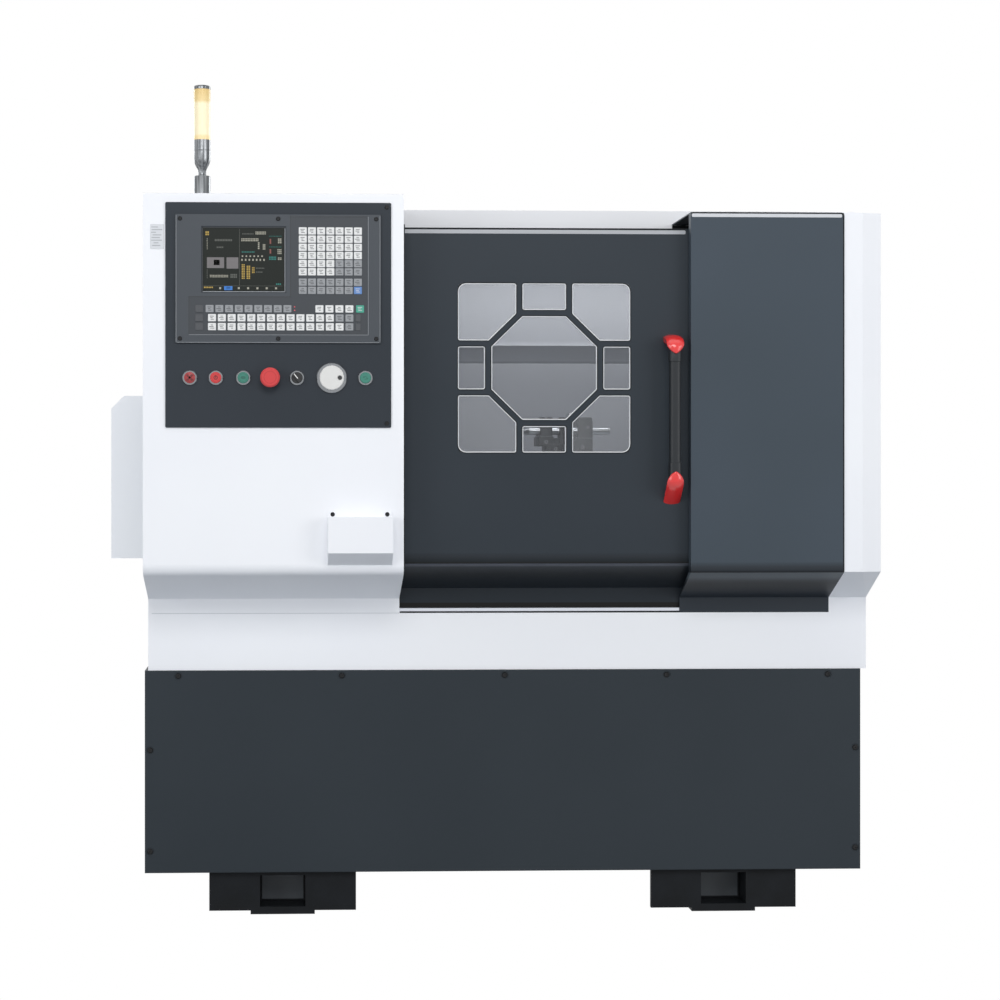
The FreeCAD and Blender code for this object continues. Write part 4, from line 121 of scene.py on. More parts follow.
def clouded(material, code, other, size_mm, detail, stretch=(1, 1, 1)):
    """The colour drifts between two tones over size_mm."""
    tree = material.node_tree
    spread = add(tree, "ShaderNodeMapRange", {"From Min": DRIFT_FROM, "From Max": DRIFT_TO},
                 {"Value": blotches(tree, size_mm, detail, stretch)})
    tone = add(tree, "ShaderNodeMix", {"A": linear(code), "B": linear(other)},
               {"Factor": spread.outputs["Result"]}, data_type="RGBA")
    tree.links.new(tone.outputs["Result"], principled(material).inputs["Base Color"])


def rise_between(tree, first, last, space="Object"):
    """0 below the first height, 1 above the last, in the object's metres or its box's share."""
    where = add(tree, "ShaderNodeTexCoord")
    place = add(tree, "ShaderNodeSeparateXYZ", None, {"Vector": where.outputs[space]})
    return add(tree, "ShaderNodeMapRange", {"From Min": first, "From Max": last},
               {"Value": place.outputs["Z"]}).outputs["Result"]


def by_height(tree, stops, space="Object"):
    """A colour that follows the height; a stop is a height and its colour, from below."""
    first, last = stops[0][0], stops[-1][0]
    tint = add(tree, "ShaderNodeValToRGB", None, {"Fac": rise_between(tree, first, last, space)})
    elements = tint.color_ramp.elements
    elements[0].color, elements[1].color = linear(stops[0][1]), linear(stops[-1][1])
    for height, code in stops[1:-1]:
        elements.new((height - first) / (last - first)).color = linear(code)
    return tint.outputs["Color"]


def above(node, stops_mm):
    """Stops given in millimetres above a node's lower edge, as heights in metres."""
    return [(low(node).z + height * MM, code) for height, code in stops_mm]


def paint(name, code, other, rough, peel_mm=1.6, depth_mm=0.02, specular=0.5):
    """Powder coat: one colour that drifts a little, with fine orange peel."""
    material = surface(name, code, rough, Specular_IOR_Level=specular)
    clouded(material, code, other, COAT_DRIFT_MM, 2.0)
    grained(material, peel_mm, depth_mm)
    return material


def shade_foot(material, stops):
    """Painted shade and highlight down a sheet's bent foot; the last stop fades into the coat over 3
    mm.
    """
    tree = material.node_tree
    colour = principled(material).inputs["Base Color"]
    last = stops[-1][0]
    tone = add(tree, "ShaderNodeMix", None,
               {"Factor": rise_between(tree, last - 3 * MM, last), "A": by_height(tree, stops),
                "B": colour.links[0].from_socket}, data_type="RGBA")
    tree.links.new(tone.outputs["Result"], colour)


# Powder-coated sheet steel: even colour, soft sheen, and orange peel that only breaks the gloss.
white_paint = paint("white_powder_coat", "F2F4F8", "EFF1F6", 0.48, specular=0.35)
guard_paint = paint("light_grey_powder_coat", "F0F3F6", "EEF1F5", 0.48, specular=0.35)
base_paint = paint("dark_grey_powder_coat", "293036", "2C3339", 0.45, 1.2, 0.03, 0.2)
door_paint = paint("graphite_powder_coat", "293037", "2C333A", 0.42, 1.2, 0.01, 0.2)
cover_paint = paint("graphite_powder_coat_light", "3A444D", "3D4751", 0.45, 1.2, 0.01, 0.25)
# Textured coat of the control plate: darker and drier, its peel finer.
panel_paint = paint("textured_panel_paint", "292F36", "2C3239", 0.45, 0.8, 0.02, 0.2)

# Painted shade and highlight on a bent sheet's foot: painted shade gathers above its lower bend
# and a painted highlight lies on the bend itself. Below, the slope is painted back into shade and the
# upright apron lighter again; the door's lowest 10 mm are painted near black as a shadow line.
DOOR_SHADOW_LINE = [(10, "050607"), (11, "1D242B")]
DOOR_APRON = [(43, "1D242B"), (45.5, "262C32")]
DOOR_SLOPE = [(58, "20262C"), (75, "131A20"), (86, "20272E"), (91.5, "2A3139")]
DOOR_BEND = [(92.8, "4F545E"), (97.5, "4F545E"), (98.6, "020304")]
DOOR_SHADE = [(104.7, "121A20"), (113, "23282E"), (122, "293037")]
shade_foot(door_paint, above("door_panel",
                             DOOR_SHADOW_LINE + DOOR_APRON + DOOR_SLOPE + DOOR_BEND + DOOR_SHADE))
COVER_APRON = [(46, "242B33"), (47.5, "272C32")]
COVER_SLOPE = [(56, "1D2328"), (66, "141A20"), (72, "242A31")]
COVER_BEND = [(80, "4A535A"), (90, "4C555C"), (91.2, "050A12")]
COVER_SHADE = [(95, "181F26"), (103, "262C33"), (114, "3A444D")]
shade_foot(cover_paint, above("right_cover", COVER_APRON + COVER_SLOPE + COVER_BEND + COVER_SHADE))

# Chamber paint: mid grey, with painted shade low down and a painted highlight in a paler band
# where its ledge catches the light.
liner_paint = surface("grey_chamber_paint", "A0A4AC", 0.42)
LINER_SHADE_AND_HIGHLIGHT = [(85, "8C9098"), (285, "969AA2"), (293, "D2D6DE"), (325, "BCC0C8"), (337, "A0A4AC"),
               (485, "A2A6AE")]
liner_paint.node_tree.links.new(
    by_height(liner_paint.node_tree, above("chamber_liner", LINER_SHADE_AND_HIGHLIGHT)),
    principled(liner_paint).inputs["Base Color"])
grained(liner_paint, 1.6, 0.02)

# Moulded front of the controller: matt, with a spark-eroded texture drawn coarser than real.
frame_plastic = surface("moulded_grey_plastic", "42474D", 0.48, Specular_IOR_Level=0.3)
grained(frame_plastic, 0.7, 0.015)
film_plastic = surface("dark_key_film", "3C4045", 0.42, Specular_IOR_Level=0.3)
grained(film_plastic, 0.6, 0.01)

# Cast iron: the sand's skin is a rough relief, drawn coarser than real so that it shows, and on
# the feet it lies under a nearly black coat.
foot_iron = surface("painted_cast_iron", "14181C", 0.55, Specular_IOR_Level=0.15)
clouded(foot_iron, "0D1013", "14171B", 60, 4.0)
grained(foot_iron, 3.0, 0.25, 4.0)
machine_iron = surface("grey_cast_iron", "6E757C", 0.5)
clouded(machine_iron, "6E757C", "646A71", 80, 4.0)
grained(machine_iron, 2.5, 0.15, 3.0)

# Ground steel and drawn aluminium: the gloss is drawn out across the marks, which are about ten
# times as coarse as real ones so that they show.
ground_steel = surface("ground_steel", "B9BDC2", 0.28, Metallic=1.0)
grained(ground_steel, 0.5, 0.004, 2.0, (0.04, 1, 1))
aluminium = surface("anodised_aluminium", "CDD1DA", 0.32, Metallic=0.85)
grained(aluminium, 0.6, 0.006, 2.0, (0.03, 1, 1))
# Blackened steel: nearly black, with cloudy patches from the hot salt bath.
tool_steel = surface("blackened_steel", "26292D", 0.42, Metallic=0.3)
clouded(tool_steel, "2A2D31", "1E2124", 30, 4.0)
black_steel = surface("black_oxide_steel", "121417", 0.45, Metallic=0.4)
# Chrome: a mirror on the hose, a softer grey on the bezels.
chrome = surface("chrome_plate", "D8DADD", 0.12, Metallic=1.0)
bezel_chrome = surface("satin_chrome", "8A8D91", 0.2, Metallic=1.0)
# Turned lamp column: upright streaks of light and dark, 5 mm wide, a painted reflection of the
# surroundings in its satin metal.
lamp_metal = surface("satin_lamp_metal", "77797C", 0.3, Metallic=0.9)
clouded(lamp_metal, "94979A", "4C4F52", 5, 2.0, (1, 1, 0.03))

# Moulded plastics: clear bright colours, glossier where they are polished or lacquered.
red_plastic = surface("red_plastic", "E42E2E", 0.25, Coat_Weight=0.5)
button_red = surface("red_button_plastic", "CC393B", 0.35)
green_plastic = surface("green_button_plastic", "347C6C", 0.35)
red_lens = surface("red_lens_plastic", "9E2226", 0.2, Coat_Weight=0.4)
black_plastic = surface("black_plastic", "15171A", 0.35)
white_plastic = surface("white_plastic", "DCDCDA", 0.3)
# Grip of glass-filled nylon: dull black with a fine texture.
handle_plastic = surface("black_grip_plastic", "1F2327", 0.4, Specular_IOR_Level=0.3)
grained(handle_plastic, 0.6, 0.01)
# Rubber of the belt: black, with hardly a highlight. The same black is used below as painted
# shadow in gaps and along edges, and round the window's panes and in its corners.
belt_rubber = surface("black_rubber", "1B1C1E", 0.7)
painted_shadow_black = surface("painted_shadow_black_strip", "14171B", 0.6, Specular_IOR_Level=0.2)
shadow_and_patch_black = surface("painted_shadow_and_corner_patch", "14171B", 0.6, Specular_IOR_Level=0.2)
# Enamel of the motors: sprayed over castings, so it looks a little uneven.
motor_paint = surface("motor_enamel", "2D3237", 0.4)
grained(motor_paint, 2.0, 0.05)

# Clear sheet of the door, which lets nearly all light through, and the screen's dark glass.
pane_clear = surface("polycarbonate", "C9CDD3", 0.04, Alpha=0.06)
screen_glass = surface("screen_glass", "1D2123", 0.12)

# Frosted lens that is lit from inside: pale in the middle, amber at the ends of its tube.
lens_lit = surface("frosted_lamp_lens", "F4E8C4", 0.35, Emission_Strength=0.14)
LENS_TONES = [(0, "EED29A"), (0.12, "EFD9A6"), (0.16, "F5E9C6"), (0.72, "F5E9C6"), (0.78, "E4CC94"),
              (1, "D9BC7C")]
glow = by_height(lens_lit.node_tree, LENS_TONES, "Generated")
for socket in ("Base Color", "Emission Color"):
    lens_lit.node_tree.links.new(glow, principled(lens_lit).inputs[socket])

LOOKS = (
    (white_paint, "coolant_tray control_housing right_side_panel left_side_panel back_panel hood"),
    (white_paint, "port_cover"),
    (guard_paint, "belt_guard"),
    (base_paint, "machine_base base_front_cover"),
    (cover_paint, "right_cover"),
    (door_paint, "door_panel door_top_plate"),
    (panel_paint, "control_plate"),
    (frame_plastic, "controller_frame"),
    (film_plastic, "key_film"),
    (screen_glass, "screen_glass"),
    (foot_iron, "left_feet right_feet"),
    (machine_iron, "bed_casting headstock motor_pedestal"),
    (liner_paint, "chamber_liner"),
    (ground_steel, "spindle linear_rails long_ball_screw cross_ball_screw tool_bars cross_slide"),
    (ground_steel, "saddle screw_bearings"),
    (tool_steel, "tool_blocks chuck_body chuck_jaw_1 chuck_jaw_2 chuck_jaw_3"),
    (aluminium, "door_sill_rail door_top_rail spindle_pulley motor_pulley"),
    (black_steel, "cover_screws"),
    (bezel_chrome, "button_bezels"),
    (chrome, "coolant_hose"),
    (lamp_metal, "signal_lamp_fittings"),
    (lens_lit, "signal_lamp_lens"),
    (pane_clear, "window_pane"),
    (handle_plastic, "door_handle"),
    (red_plastic, "handle_caps"),
    (button_red, "stop_button emergency_stop_head"),
    (red_lens, "power_lamp"),
    (green_plastic, "start_button cycle_button"),
    (black_plastic, "mode_selector emergency_stop_stem"),
    (white_plastic, "handwheel"),
    (belt_rubber, "drive_belt"),
    (motor_paint, "spindle_motor long_servo cross_servo"),
)
for look, names in LOOKS:
    for name in names.split():
        part = NODES[name]
        part.data.materials.clear()
        part.data.materials.append(look)


# ---------------------------------------------------------------- shapes

def in_scene(name, data):
    """A new object with this data, in the scene."""
    made = bpy.data.objects.new(name, data)
    bpy.context.scene.collection.objects.link(made)
    return made


def piece(name, shape, looks, body, smooth=True):
    """An object made from a bmesh, riding on a body."""
    mesh = bpy.data.meshes.new(name)
    shape.to_mesh(mesh)
    shape.free()
    for look in looks:
        mesh.materials.append(look)
    made = in_scene(name, mesh)
    if smooth:
        mesh.shade_smooth()
        mesh.set_sharp_from_angle(angle=math.radians(35))
    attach(made, body)
    return made


def arc_corners(points, radii, steps=5):
    """A closed outline with its corners rounded, by one radius or one for each corner."""
    result = []
    count = len(points)
    if not isinstance(radii, list):
        radii = [radii] * count
    for index, (point, radius) in enumerate(zip(points, radii)):
        here = Vector(point)
        before = (Vector(points[index - 1]) - here).normalized()
        after = (Vector(points[(index + 1) % count]) - here).normalized()
        half = before.angle(after) / 2
        reach = radius / math.tan(half)
        start = here + before * reach
        end = here + after * reach
        middle = here + (before + after).normalized() * radius / math.sin(half)
        a = math.atan2(start.y - middle.y, start.x - middle.x)
        b = math.atan2(end.y - middle.y, end.x - middle.x)
        turn = (b - a + math.pi) % (2 * math.pi) - math.pi
        for step in range(steps + 1):
            angle = a + turn * step / steps
            result.append((middle.x + radius * math.cos(angle),
                           middle.y + radius * math.sin(angle)))
    return result


def shrunk(points, inset):
    """A convex outline moved inwards by inset, corners sharp."""
    area = sum(points[i - 1][0] * p[1] - p[0] * points[i - 1][1] for i, p in enumerate(points))
    sign = 1 if area > 0 else -1
    moved = []
    for index, point in enumerate(points):
        here = Vector(point)
        to_here = (here - Vector(points[index - 1])).normalized()
        onward = (Vector(points[(index + 1) % len(points)]) - here).normalized()
        normal = Vector((-to_here.y - onward.y, to_here.x + onward.x)).normalized() * sign
        cosine = normal.dot(Vector((-onward.y, onward.x)) * sign)
        moved.append(tuple(here + normal * inset / cosine))
    return moved


def circle(radius, sides, tall=None):
    """Points round a circle, or round an ellipse that is tall upwards from its middle."""
    turns = [2 * math.pi * k / sides for k in range(sides)]
    return [(radius * math.cos(turn), (tall or radius) * math.sin(turn)) for turn in turns]


def facing_front(points, y, x=0.0, z=0.0):
    """A flat outline set upright at y, its middle at x and z."""
    return [(x + a, y, z + b) for a, b in points]


def flat(shape, points, look=0):
    """One face through the points."""
    shape.faces.new([shape.verts.new(p) for p in points]).material_index = look


def strip(shape, loops, look=0):
    """Quads between loops of the same length, each a list of points; returns the rings."""
    rings = [[shape.verts.new(p) for p in loop] for loop in loops]
    for one, two in zip(rings, rings[1:]):
        for k in range(len(one)):
            face = shape.faces.new((one[k - 1], one[k], two[k], two[k - 1]))
            face.material_index = look
    return rings


def solid(shape, loops, look=0):
    """A strip of loops with both ends filled."""
    rings = strip(shape, loops, look)
    for ring in (rings[0], rings[-1]):
        shape.faces.new(ring).material_index = look


def tile(shape, x, z, wide, tall, back, out, radius, bevel, look=0):
    """A low pad that faces the front: rounded outline, bevelled edge, flat top."""
    def outline(inset):
        w, h = wide / 2 - inset, tall / 2 - inset
        return arc_corners([(x - w, z - h), (x + w, z - h), (x + w, z + h), (x - w, z + h)],
                           max(radius - inset, 0.1 * MM), 3)
    rings = strip(shape, [facing_front(outline(0), back),
                          facing_front(outline(0), back - out + bevel),
                          facing_front(outline(bevel), back - out)], look)
    shape.faces.new(rings[-1]).material_index = look


def disc(shape, x, z, radius, y, look=0, sides=32, inner=0.0):
    """A flat disc or ring that faces the front."""
    outer_edge = facing_front(circle(radius, sides), y, x, z)
    if inner:
        strip(shape, [facing_front(circle(inner, sides), y, x, z), outer_edge], look)
    else:
        flat(shape, outer_edge, look)


def bar(shape, x0, z0, x1, z1, wide, y, look=0):
    """A flat stroke from one point to another that faces the front."""
    start, end = Vector((x0, z0)), Vector((x1, z1))
    along = (end - start).normalized() * wide / 2
    side = Vector((-along.y, along.x))
    flat(shape, facing_front([start - along - side, end + along - side, end + along + side,
                              start - along + side], y), look)


def lathe(shape, x, y, profile, sides=48):
    """A turned form about an upright axis: profile is radius and height, from below."""
    solid(shape, [[(x + a, y + b, z) for a, b in circle(r, sides)] for r, z in profile])


def block(shape, x0, x1, y0, y1, z0, z1, bevel):
    """A machined block with bevelled edges all round its front, back and sides."""
    small = bevel * 0.9

    def outline(inset):
        return arc_corners([(x0 + inset, y0 + inset), (x1 - inset, y0 + inset),
                            (x1 - inset, y1 - inset), (x0 + inset, y1 - inset)], bevel, 2)
    solid(shape, [[(x, y, z) for x, y in outline(inset)]
                  for inset, z in ((small, z0), (0, z0 + bevel), (0, z1 - bevel), (small, z1))])


# ---------------------------------------------------------------- keys of the controller

FRAME_LOW, FRAME_HIGH = low("controller_frame"), high("controller_frame")
FRAME_FACE = FRAME_LOW.y
FILM_FACE = low("key_film").y


def on_frame(u, v):
    """A place on the controller's face, millimetres from its left and top edges."""
    return FRAME_LOW.x + u * MM, FRAME_HIGH.z - v * MM


key_looks = [surface("white_key_film", "DFE0E0", 0.4), surface("grey_key_film", "8F9296", 0.4),
             surface("dark_key_film_pad", "3E4146", 0.45), surface("green_key_film", "3F9C86", 0.4),
             surface("blue_key_film", "5B83BE", 0.4)]
WHITE, GREY, DARK, GREEN, BLUE = range(5)
KEY_WIDE, NARROW_KEY, KEY_TALL, KEY_OUT, KEY_ROUND, KEY_BEVEL = 16.4, 11.0, 15.0, 1.1, 1.4, 0.5
keys = []


def key_row(u, v, pitch, tones, wide=KEY_WIDE):
    """A row of keys from the middle of its first one; a key is its place, width and tone."""
    keys.extend((u + pitch * k, v, wide, tone) for k, tone in enumerate(tones))


# The block of keys beside the screen, its two lowest rows a little apart.
BLOCK_LEFT, BLOCK_TOP, BLOCK_PITCH, BLOCK_DROP, BLOCK_GAP = 259.7, 33.6, 18.8, 16.7, 4.6
BLOCK_TONES = [[WHITE] * 7] * 4 + [[WHITE] * 4 + [GREY] * 3] * 2 + [[GREY] * 7, [GREY] * 6 + [BLUE]]
for row, tones in enumerate(BLOCK_TONES):
    key_row(BLOCK_LEFT, BLOCK_TOP + BLOCK_DROP * row + (BLOCK_GAP if row > 5 else 0.0), BLOCK_PITCH,
            tones)

# The three rows below the screen: groups of keys in the first, full rows in the others.
TOP_ROW, MIDDLE_ROW, LOW_ROW = 193.0, 211.6, 229.7
FIRST_KEY, NARROW_PLACE = 48.3, 373.0
key_row(FIRST_KEY, TOP_ROW, 0, [DARK])
key_row(69.5, TOP_ROW, 19.85, [GREY] * 9)
key_row(293.8, TOP_ROW, 20.4, [WHITE] * 4)
key_row(376.9, TOP_ROW, 0, [GREEN])
for v, last_tones in ((MIDDLE_ROW, [GREY, GREY]), (LOW_ROW, [WHITE, GREY])):
    key_row(FIRST_KEY, v, 0, [DARK])
    key_row(74.4, v, 20.05, [WHITE] * 13 + last_tones)
    key_row(NARROW_PLACE, v, 0, [DARK], NARROW_KEY)
shape = bmesh.new()
for u, v, wide, tone in keys:
    x, z = on_frame(u, v)
    tile(shape, x, z, wide * MM, KEY_TALL * MM, FILM_FACE, KEY_OUT * MM, KEY_ROUND * MM,
         KEY_BEVEL * MM, tone)
piece("embossed_keys", shape, key_looks, "machine")

# Small printed marks on the keys: short plain strokes one above another, no letters. STROKES
# holds the reaches of the three strokes on a key, and lean moves a stroke off the middle.
print_dark = surface("key_print", "3E4044", 0.5)
print_light = surface("key_print_light", "C9CBCE", 0.5)
MARK_FACE = FILM_FACE - (KEY_OUT + 0.05) * MM
MARK = 2.9 * MM
MARK_PITCH, MARK_THICK, LEAN, RIGHT_SHARE = 1.1 * MARK, 0.42 * MARK, 0.3, 0.8
STROKES = ((1.5, 0.9, 1.2), (0.8, 1.5, 1.1), (1.2, 1.2, 0.6), (0.7, 1.4, 1.5), (1.4, 0.6, 1.0))
shape = bmesh.new()
for index, (u, v, wide, tone) in enumerate(keys):
    if tone == DARK:
        continue
    x, z = on_frame(u, v)
    look = 1 if tone in (BLUE, GREEN) else 0
    for line, reach in zip((1, 0, -1), STROKES[index * 7 % len(STROKES)]):
        lean = ((index * 3 + line) % 3 - 1) * LEAN
        bar(shape, x - (reach - lean) * MARK, z + line * MARK_PITCH,
            x + (reach + lean) * MARK * RIGHT_SHARE, z + line * MARK_PITCH, MARK_THICK,
            MARK_FACE, look)
piece("key_marks", shape, [print_dark, print_light], "machine", smooth=False)

# Two small red lamps in the upper row of the lower keys.
lamp_red = surface("red_indicator", "D0505A", 0.3, Emission_Color=linear("D0505A"),
                   Emission_Strength=0.3)
INDICATOR_U, INDICATOR_WIDE = 243.0, 2.6
shape = bmesh.new()
for v in (TOP_ROW - 4.0, TOP_ROW + 3.0):
    x, z = on_frame(INDICATOR_U, v)
    tile(shape, x, z, INDICATOR_WIDE * MM, INDICATOR_WIDE * MM, FILM_FACE, 0.6 * MM, 1.2 * MM,
         0.3 * MM)
piece("key_indicators", shape, [lamp_red], "machine")

# Fine edges of the moulded front: its rim, the key field's step and the screen's bevel, drawn as
# thin strips of painted highlight where an edge faces the light and painted shade where it faces
# away. An edge runs from one place on the face to another.
edge_highlight = surface("painted_highlight_plastic_edge", "7C8085", 0.4)
bevel_highlight = surface("painted_highlight_screen_bevel", "9DA1A6", 0.35)
edge_shade = surface("painted_shade_plastic_edge", "24272A", 0.5)
HIGHLIT_EDGE, HIGHLIT_BEVEL, SHADED_EDGE = range(3)
FRAME_WIDE = (FRAME_HIGH.x - FRAME_LOW.x) / MM
FRAME_TALL = (FRAME_HIGH.z - FRAME_LOW.z) / MM
RIM, ROUND, EDGE_THICK = 1.2, 3, 1.1
STEP_LEFT, STEP_TOP, STEP_IN, STEP_DOWN, STEP_RIGHT, STEP_LOW = 234.5, 3.3, 27.2, 168.5, 393.8, 246.3
SCREEN_LEFT, SCREEN_TOP, SCREEN_RIGHT, SCREEN_LOW = 55.2, 27.2, 223.3, 158.2
EDGES = [
    (RIM, ROUND, RIM, FRAME_TALL - 2, HIGHLIT_EDGE),
    (ROUND, FRAME_TALL - RIM, FRAME_WIDE - ROUND, FRAME_TALL - RIM, HIGHLIT_EDGE),
    (FRAME_WIDE - RIM, ROUND, FRAME_WIDE - RIM, FRAME_TALL - ROUND, HIGHLIT_EDGE),
    (STEP_LEFT, STEP_TOP, STEP_LEFT, STEP_DOWN, SHADED_EDGE),
    (STEP_LEFT, STEP_TOP, STEP_RIGHT, STEP_TOP, SHADED_EDGE),
    (STEP_IN, STEP_DOWN, STEP_LEFT, STEP_DOWN, SHADED_EDGE),
    (STEP_IN, STEP_DOWN, STEP_IN, STEP_LOW, SHADED_EDGE),
    (STEP_RIGHT, STEP_TOP, STEP_RIGHT, STEP_LOW, HIGHLIT_EDGE),
    (STEP_IN, STEP_LOW, STEP_RIGHT, STEP_LOW, HIGHLIT_EDGE),
    (SCREEN_RIGHT, SCREEN_TOP + 1.8, SCREEN_RIGHT, SCREEN_LOW, HIGHLIT_BEVEL),
    (SCREEN_LEFT + 0.3, SCREEN_LOW, SCREEN_RIGHT, SCREEN_LOW, HIGHLIT_BEVEL),
    (SCREEN_LEFT, SCREEN_TOP, SCREEN_RIGHT, SCREEN_TOP, SHADED_EDGE),
    (SCREEN_LEFT, SCREEN_TOP, SCREEN_LEFT, SCREEN_LOW, SHADED_EDGE)]
shape = bmesh.new()
for u0, v0, u1, v1, tone in EDGES:
    bar(shape, *on_frame(u0, v0), *on_frame(u1, v1), EDGE_THICK * MM, FRAME_FACE - 0.06 * MM, tone)
piece("controller_edges", shape, [edge_highlight, bevel_highlight, edge_shade], "machine",
      smooth=False)

# ---------------------------------------------------------------- the lit screen

# A page of plain fields: colour blocks stand for what the display shows. A field is its tone and
# its left, top, right and lower edge on the controller's face; the first is the page itself.
SCREEN_BACK = low("screen_glass").y
SCREEN_TONES = ("1B1F1C", "9A988C", "5A5C58", "A88E4C", "33766F", "3F74BA", "7E504B", "6E6B6C")
INK, PALE, DIM, AMBER, TEAL, SKY, RUST, MAUVE = range(len(SCREEN_TONES))
screen_looks = [surface(f"screen_field_{code}", code, 0.25, Emission_Color=linear(code),
                        Emission_Strength=0.2, Specular_IOR_Level=0.2) for code in SCREEN_TONES]
FIELDS = [
    (INK, 56.4, 28.4, 221.6, 156.6),
    (AMBER, 61, 35, 69, 44), (PALE, 64, 49, 66, 73), (DIM, 80, 51, 116, 56), (DIM, 84, 66, 98, 70),
    (MAUVE, 64, 88, 99, 110), (INK, 78, 93, 90, 104), (MAUVE, 104, 88, 128, 111),
    (DIM, 64, 113, 66, 132), (PALE, 70, 124, 108, 130), (DIM, 112, 122, 126, 131),
    (AMBER, 58, 148, 77, 152), (SKY, 99, 147, 116, 155), (PALE, 104, 149, 112, 153),
    (PALE, 163, 35, 185, 42), (DIM, 136, 39, 160, 42), (PALE, 134, 49, 170, 56),
    (PALE, 168, 57, 172, 72), (PALE, 178, 61, 184, 73), (TEAL, 191, 44, 217, 46),
    (PALE, 209, 49, 217, 60), (RUST, 192, 50, 195, 60), (TEAL, 191, 66, 217, 68),
    (PALE, 208, 71, 217, 82), (RUST, 192, 71, 195, 80), (TEAL, 191, 86, 206, 94),
    (PALE, 209, 88, 217, 94), (TEAL, 135, 76, 162, 79), (AMBER, 135, 102, 142, 133),
    (AMBER, 145, 105, 153, 133), (AMBER, 156, 108, 162, 121), (DIM, 164, 109, 182, 112),
    (DIM, 164, 117, 178, 120), (TEAL, 205, 141, 216, 145), (DIM, 57, 146, 218, 146.5),
    (DIM, 130, 30, 130.6, 145),
]
FIELDS += [(PALE, 135 + 8 * k, 84, 138 + 8 * k, 87) for k in range(6)]
FIELDS += [(PALE, 134 + 7.5 * k, 91, 137 + 7.5 * k, 95) for k in range(7)]
FIELDS += [(PALE, 89 + 19 * k, 149, 93 + 19 * k, 153) for k in range(7) if k != 1]
DASH_WIDE, DASH_TALL, DASH_GAP_U, DASH_GAP_V = 3.2, 3.6, 0.9, 1.1
shape = bmesh.new()
for order, (tone, u0, v0, u1, v1) in enumerate(FIELDS):
    y = SCREEN_BACK - (0.05 if order == 0 else 0.09) * MM
    columns, lines = 1, 1
    if tone in (PALE, DIM, TEAL, AMBER) and min(u1 - u0, v1 - v0) > 1:
        # These fields are broken into dashes, as lines of a display are.
        columns, lines = max(round((u1 - u0) / DASH_WIDE), 1), max(round((v1 - v0) / DASH_TALL), 1)
    wide, tall = (u1 - u0) / columns, (v1 - v0) / lines
    gap_u, gap_v = (0.0, 0.0) if columns * lines == 1 else (DASH_GAP_U, DASH_GAP_V)
    for column in range(columns):
        for line in range(lines):
            x0, z0 = on_frame(u0 + column * wide, v0 + (line + 1) * tall - gap_v)
            x1, z1 = on_frame(u0 + (column + 1) * wide - gap_u, v0 + line * tall)
            flat(shape, facing_front([(x0, z0), (x1, z0), (x1, z1), (x0, z1)], y), tone)
piece("screen_page", shape, screen_looks, "machine", smooth=False)


# ---------------------------------------------------------------- window rims

# The window is an octagon with eight panes round it, laid out about its middle and then squeezed
# to its height. GAP parts them, INNER is the octagon's inner radius, SIDE and SLIM are half the
# width and the depth of the four slim panes, and CUT is how far a corner pane is cut back. The
# clear sheet laps behind the door by PANE_LAP all round.
rim_highlight = surface("rim_painted_highlight", "F4F6F8", 0.35)
PANE_LAP, GAP = 14 * MM, 12.5 * MM
field_low = low("window_pane") + Vector((PANE_LAP, 0, PANE_LAP))
field_high = high("window_pane") - Vector((PANE_LAP, 0, PANE_LAP))
middle = (field_low + field_high) / 2
HALF = (field_high.x - field_low.x) / 2
SQUEEZE = (field_high.z - field_low.z) / (field_high.x - field_low.x)
INNER, SIDE, SLIM = 111 * MM, 46 * MM, 57 * MM
FLAT = INNER * math.tan(math.pi / 8)
STEP = SIDE + GAP
CUT = INNER + FLAT + GAP * math.sqrt(2) - 2 * STEP
octagon = [(FLAT, INNER), (INNER, FLAT), (INNER, -FLAT), (FLAT, -INNER), (-FLAT, -INNER),
           (-INNER, -FLAT), (-INNER, FLAT), (-FLAT, INNER)]
slim_pane = [(-SIDE, HALF - SLIM), (SIDE, HALF - SLIM), (SIDE, HALF), (-SIDE, HALF)]
corner_pane = [(STEP, HALF), (STEP, STEP + CUT), (STEP + CUT, STEP), (HALF, STEP), (HALF, HALF)]
outlines = [octagon]
for quarter in range(4):
    outlines += [slim_pane, corner_pane]
    slim_pane = [(-b, a) for a, b in slim_pane]
    corner_pane = [(-b, a) for a, b in corner_pane]
RIM_WIDE, RIM_OUT, RIM_GAP, PANE_SHADOW_WIDE = 2.1 * MM, 1.6 * MM, 0.15 * MM, 1.9 * MM
PANE_ROUND, CORNER_ROUND, CORNER_CUT = 4.5 * MM, 17 * MM, 10 * MM
DOOR_FACE = low("window_pane").y
PANE_SHADOW_FACE, PATCH_FACE = low("door_panel").y - 0.08 * MM, DOOR_FACE - 0.3 * MM


def placed(outline):
    """An outline of the layout at its place in the window."""
    return [(middle.x + a, middle.z + b * SQUEEZE) for a, b in outline]


def rim_loop(outline, inset, y, corner_round=CORNER_ROUND):
    """A pane's outline moved inwards and rounded, more so at the window's own four corners."""
    rounds = [(corner_round if abs(a) + abs(b) > HALF * 1.99 else PANE_ROUND) - RIM_GAP - inset
              for a, b in outline]
    return facing_front(arc_corners(shrunk(placed(outline), RIM_GAP + inset), rounds), y)


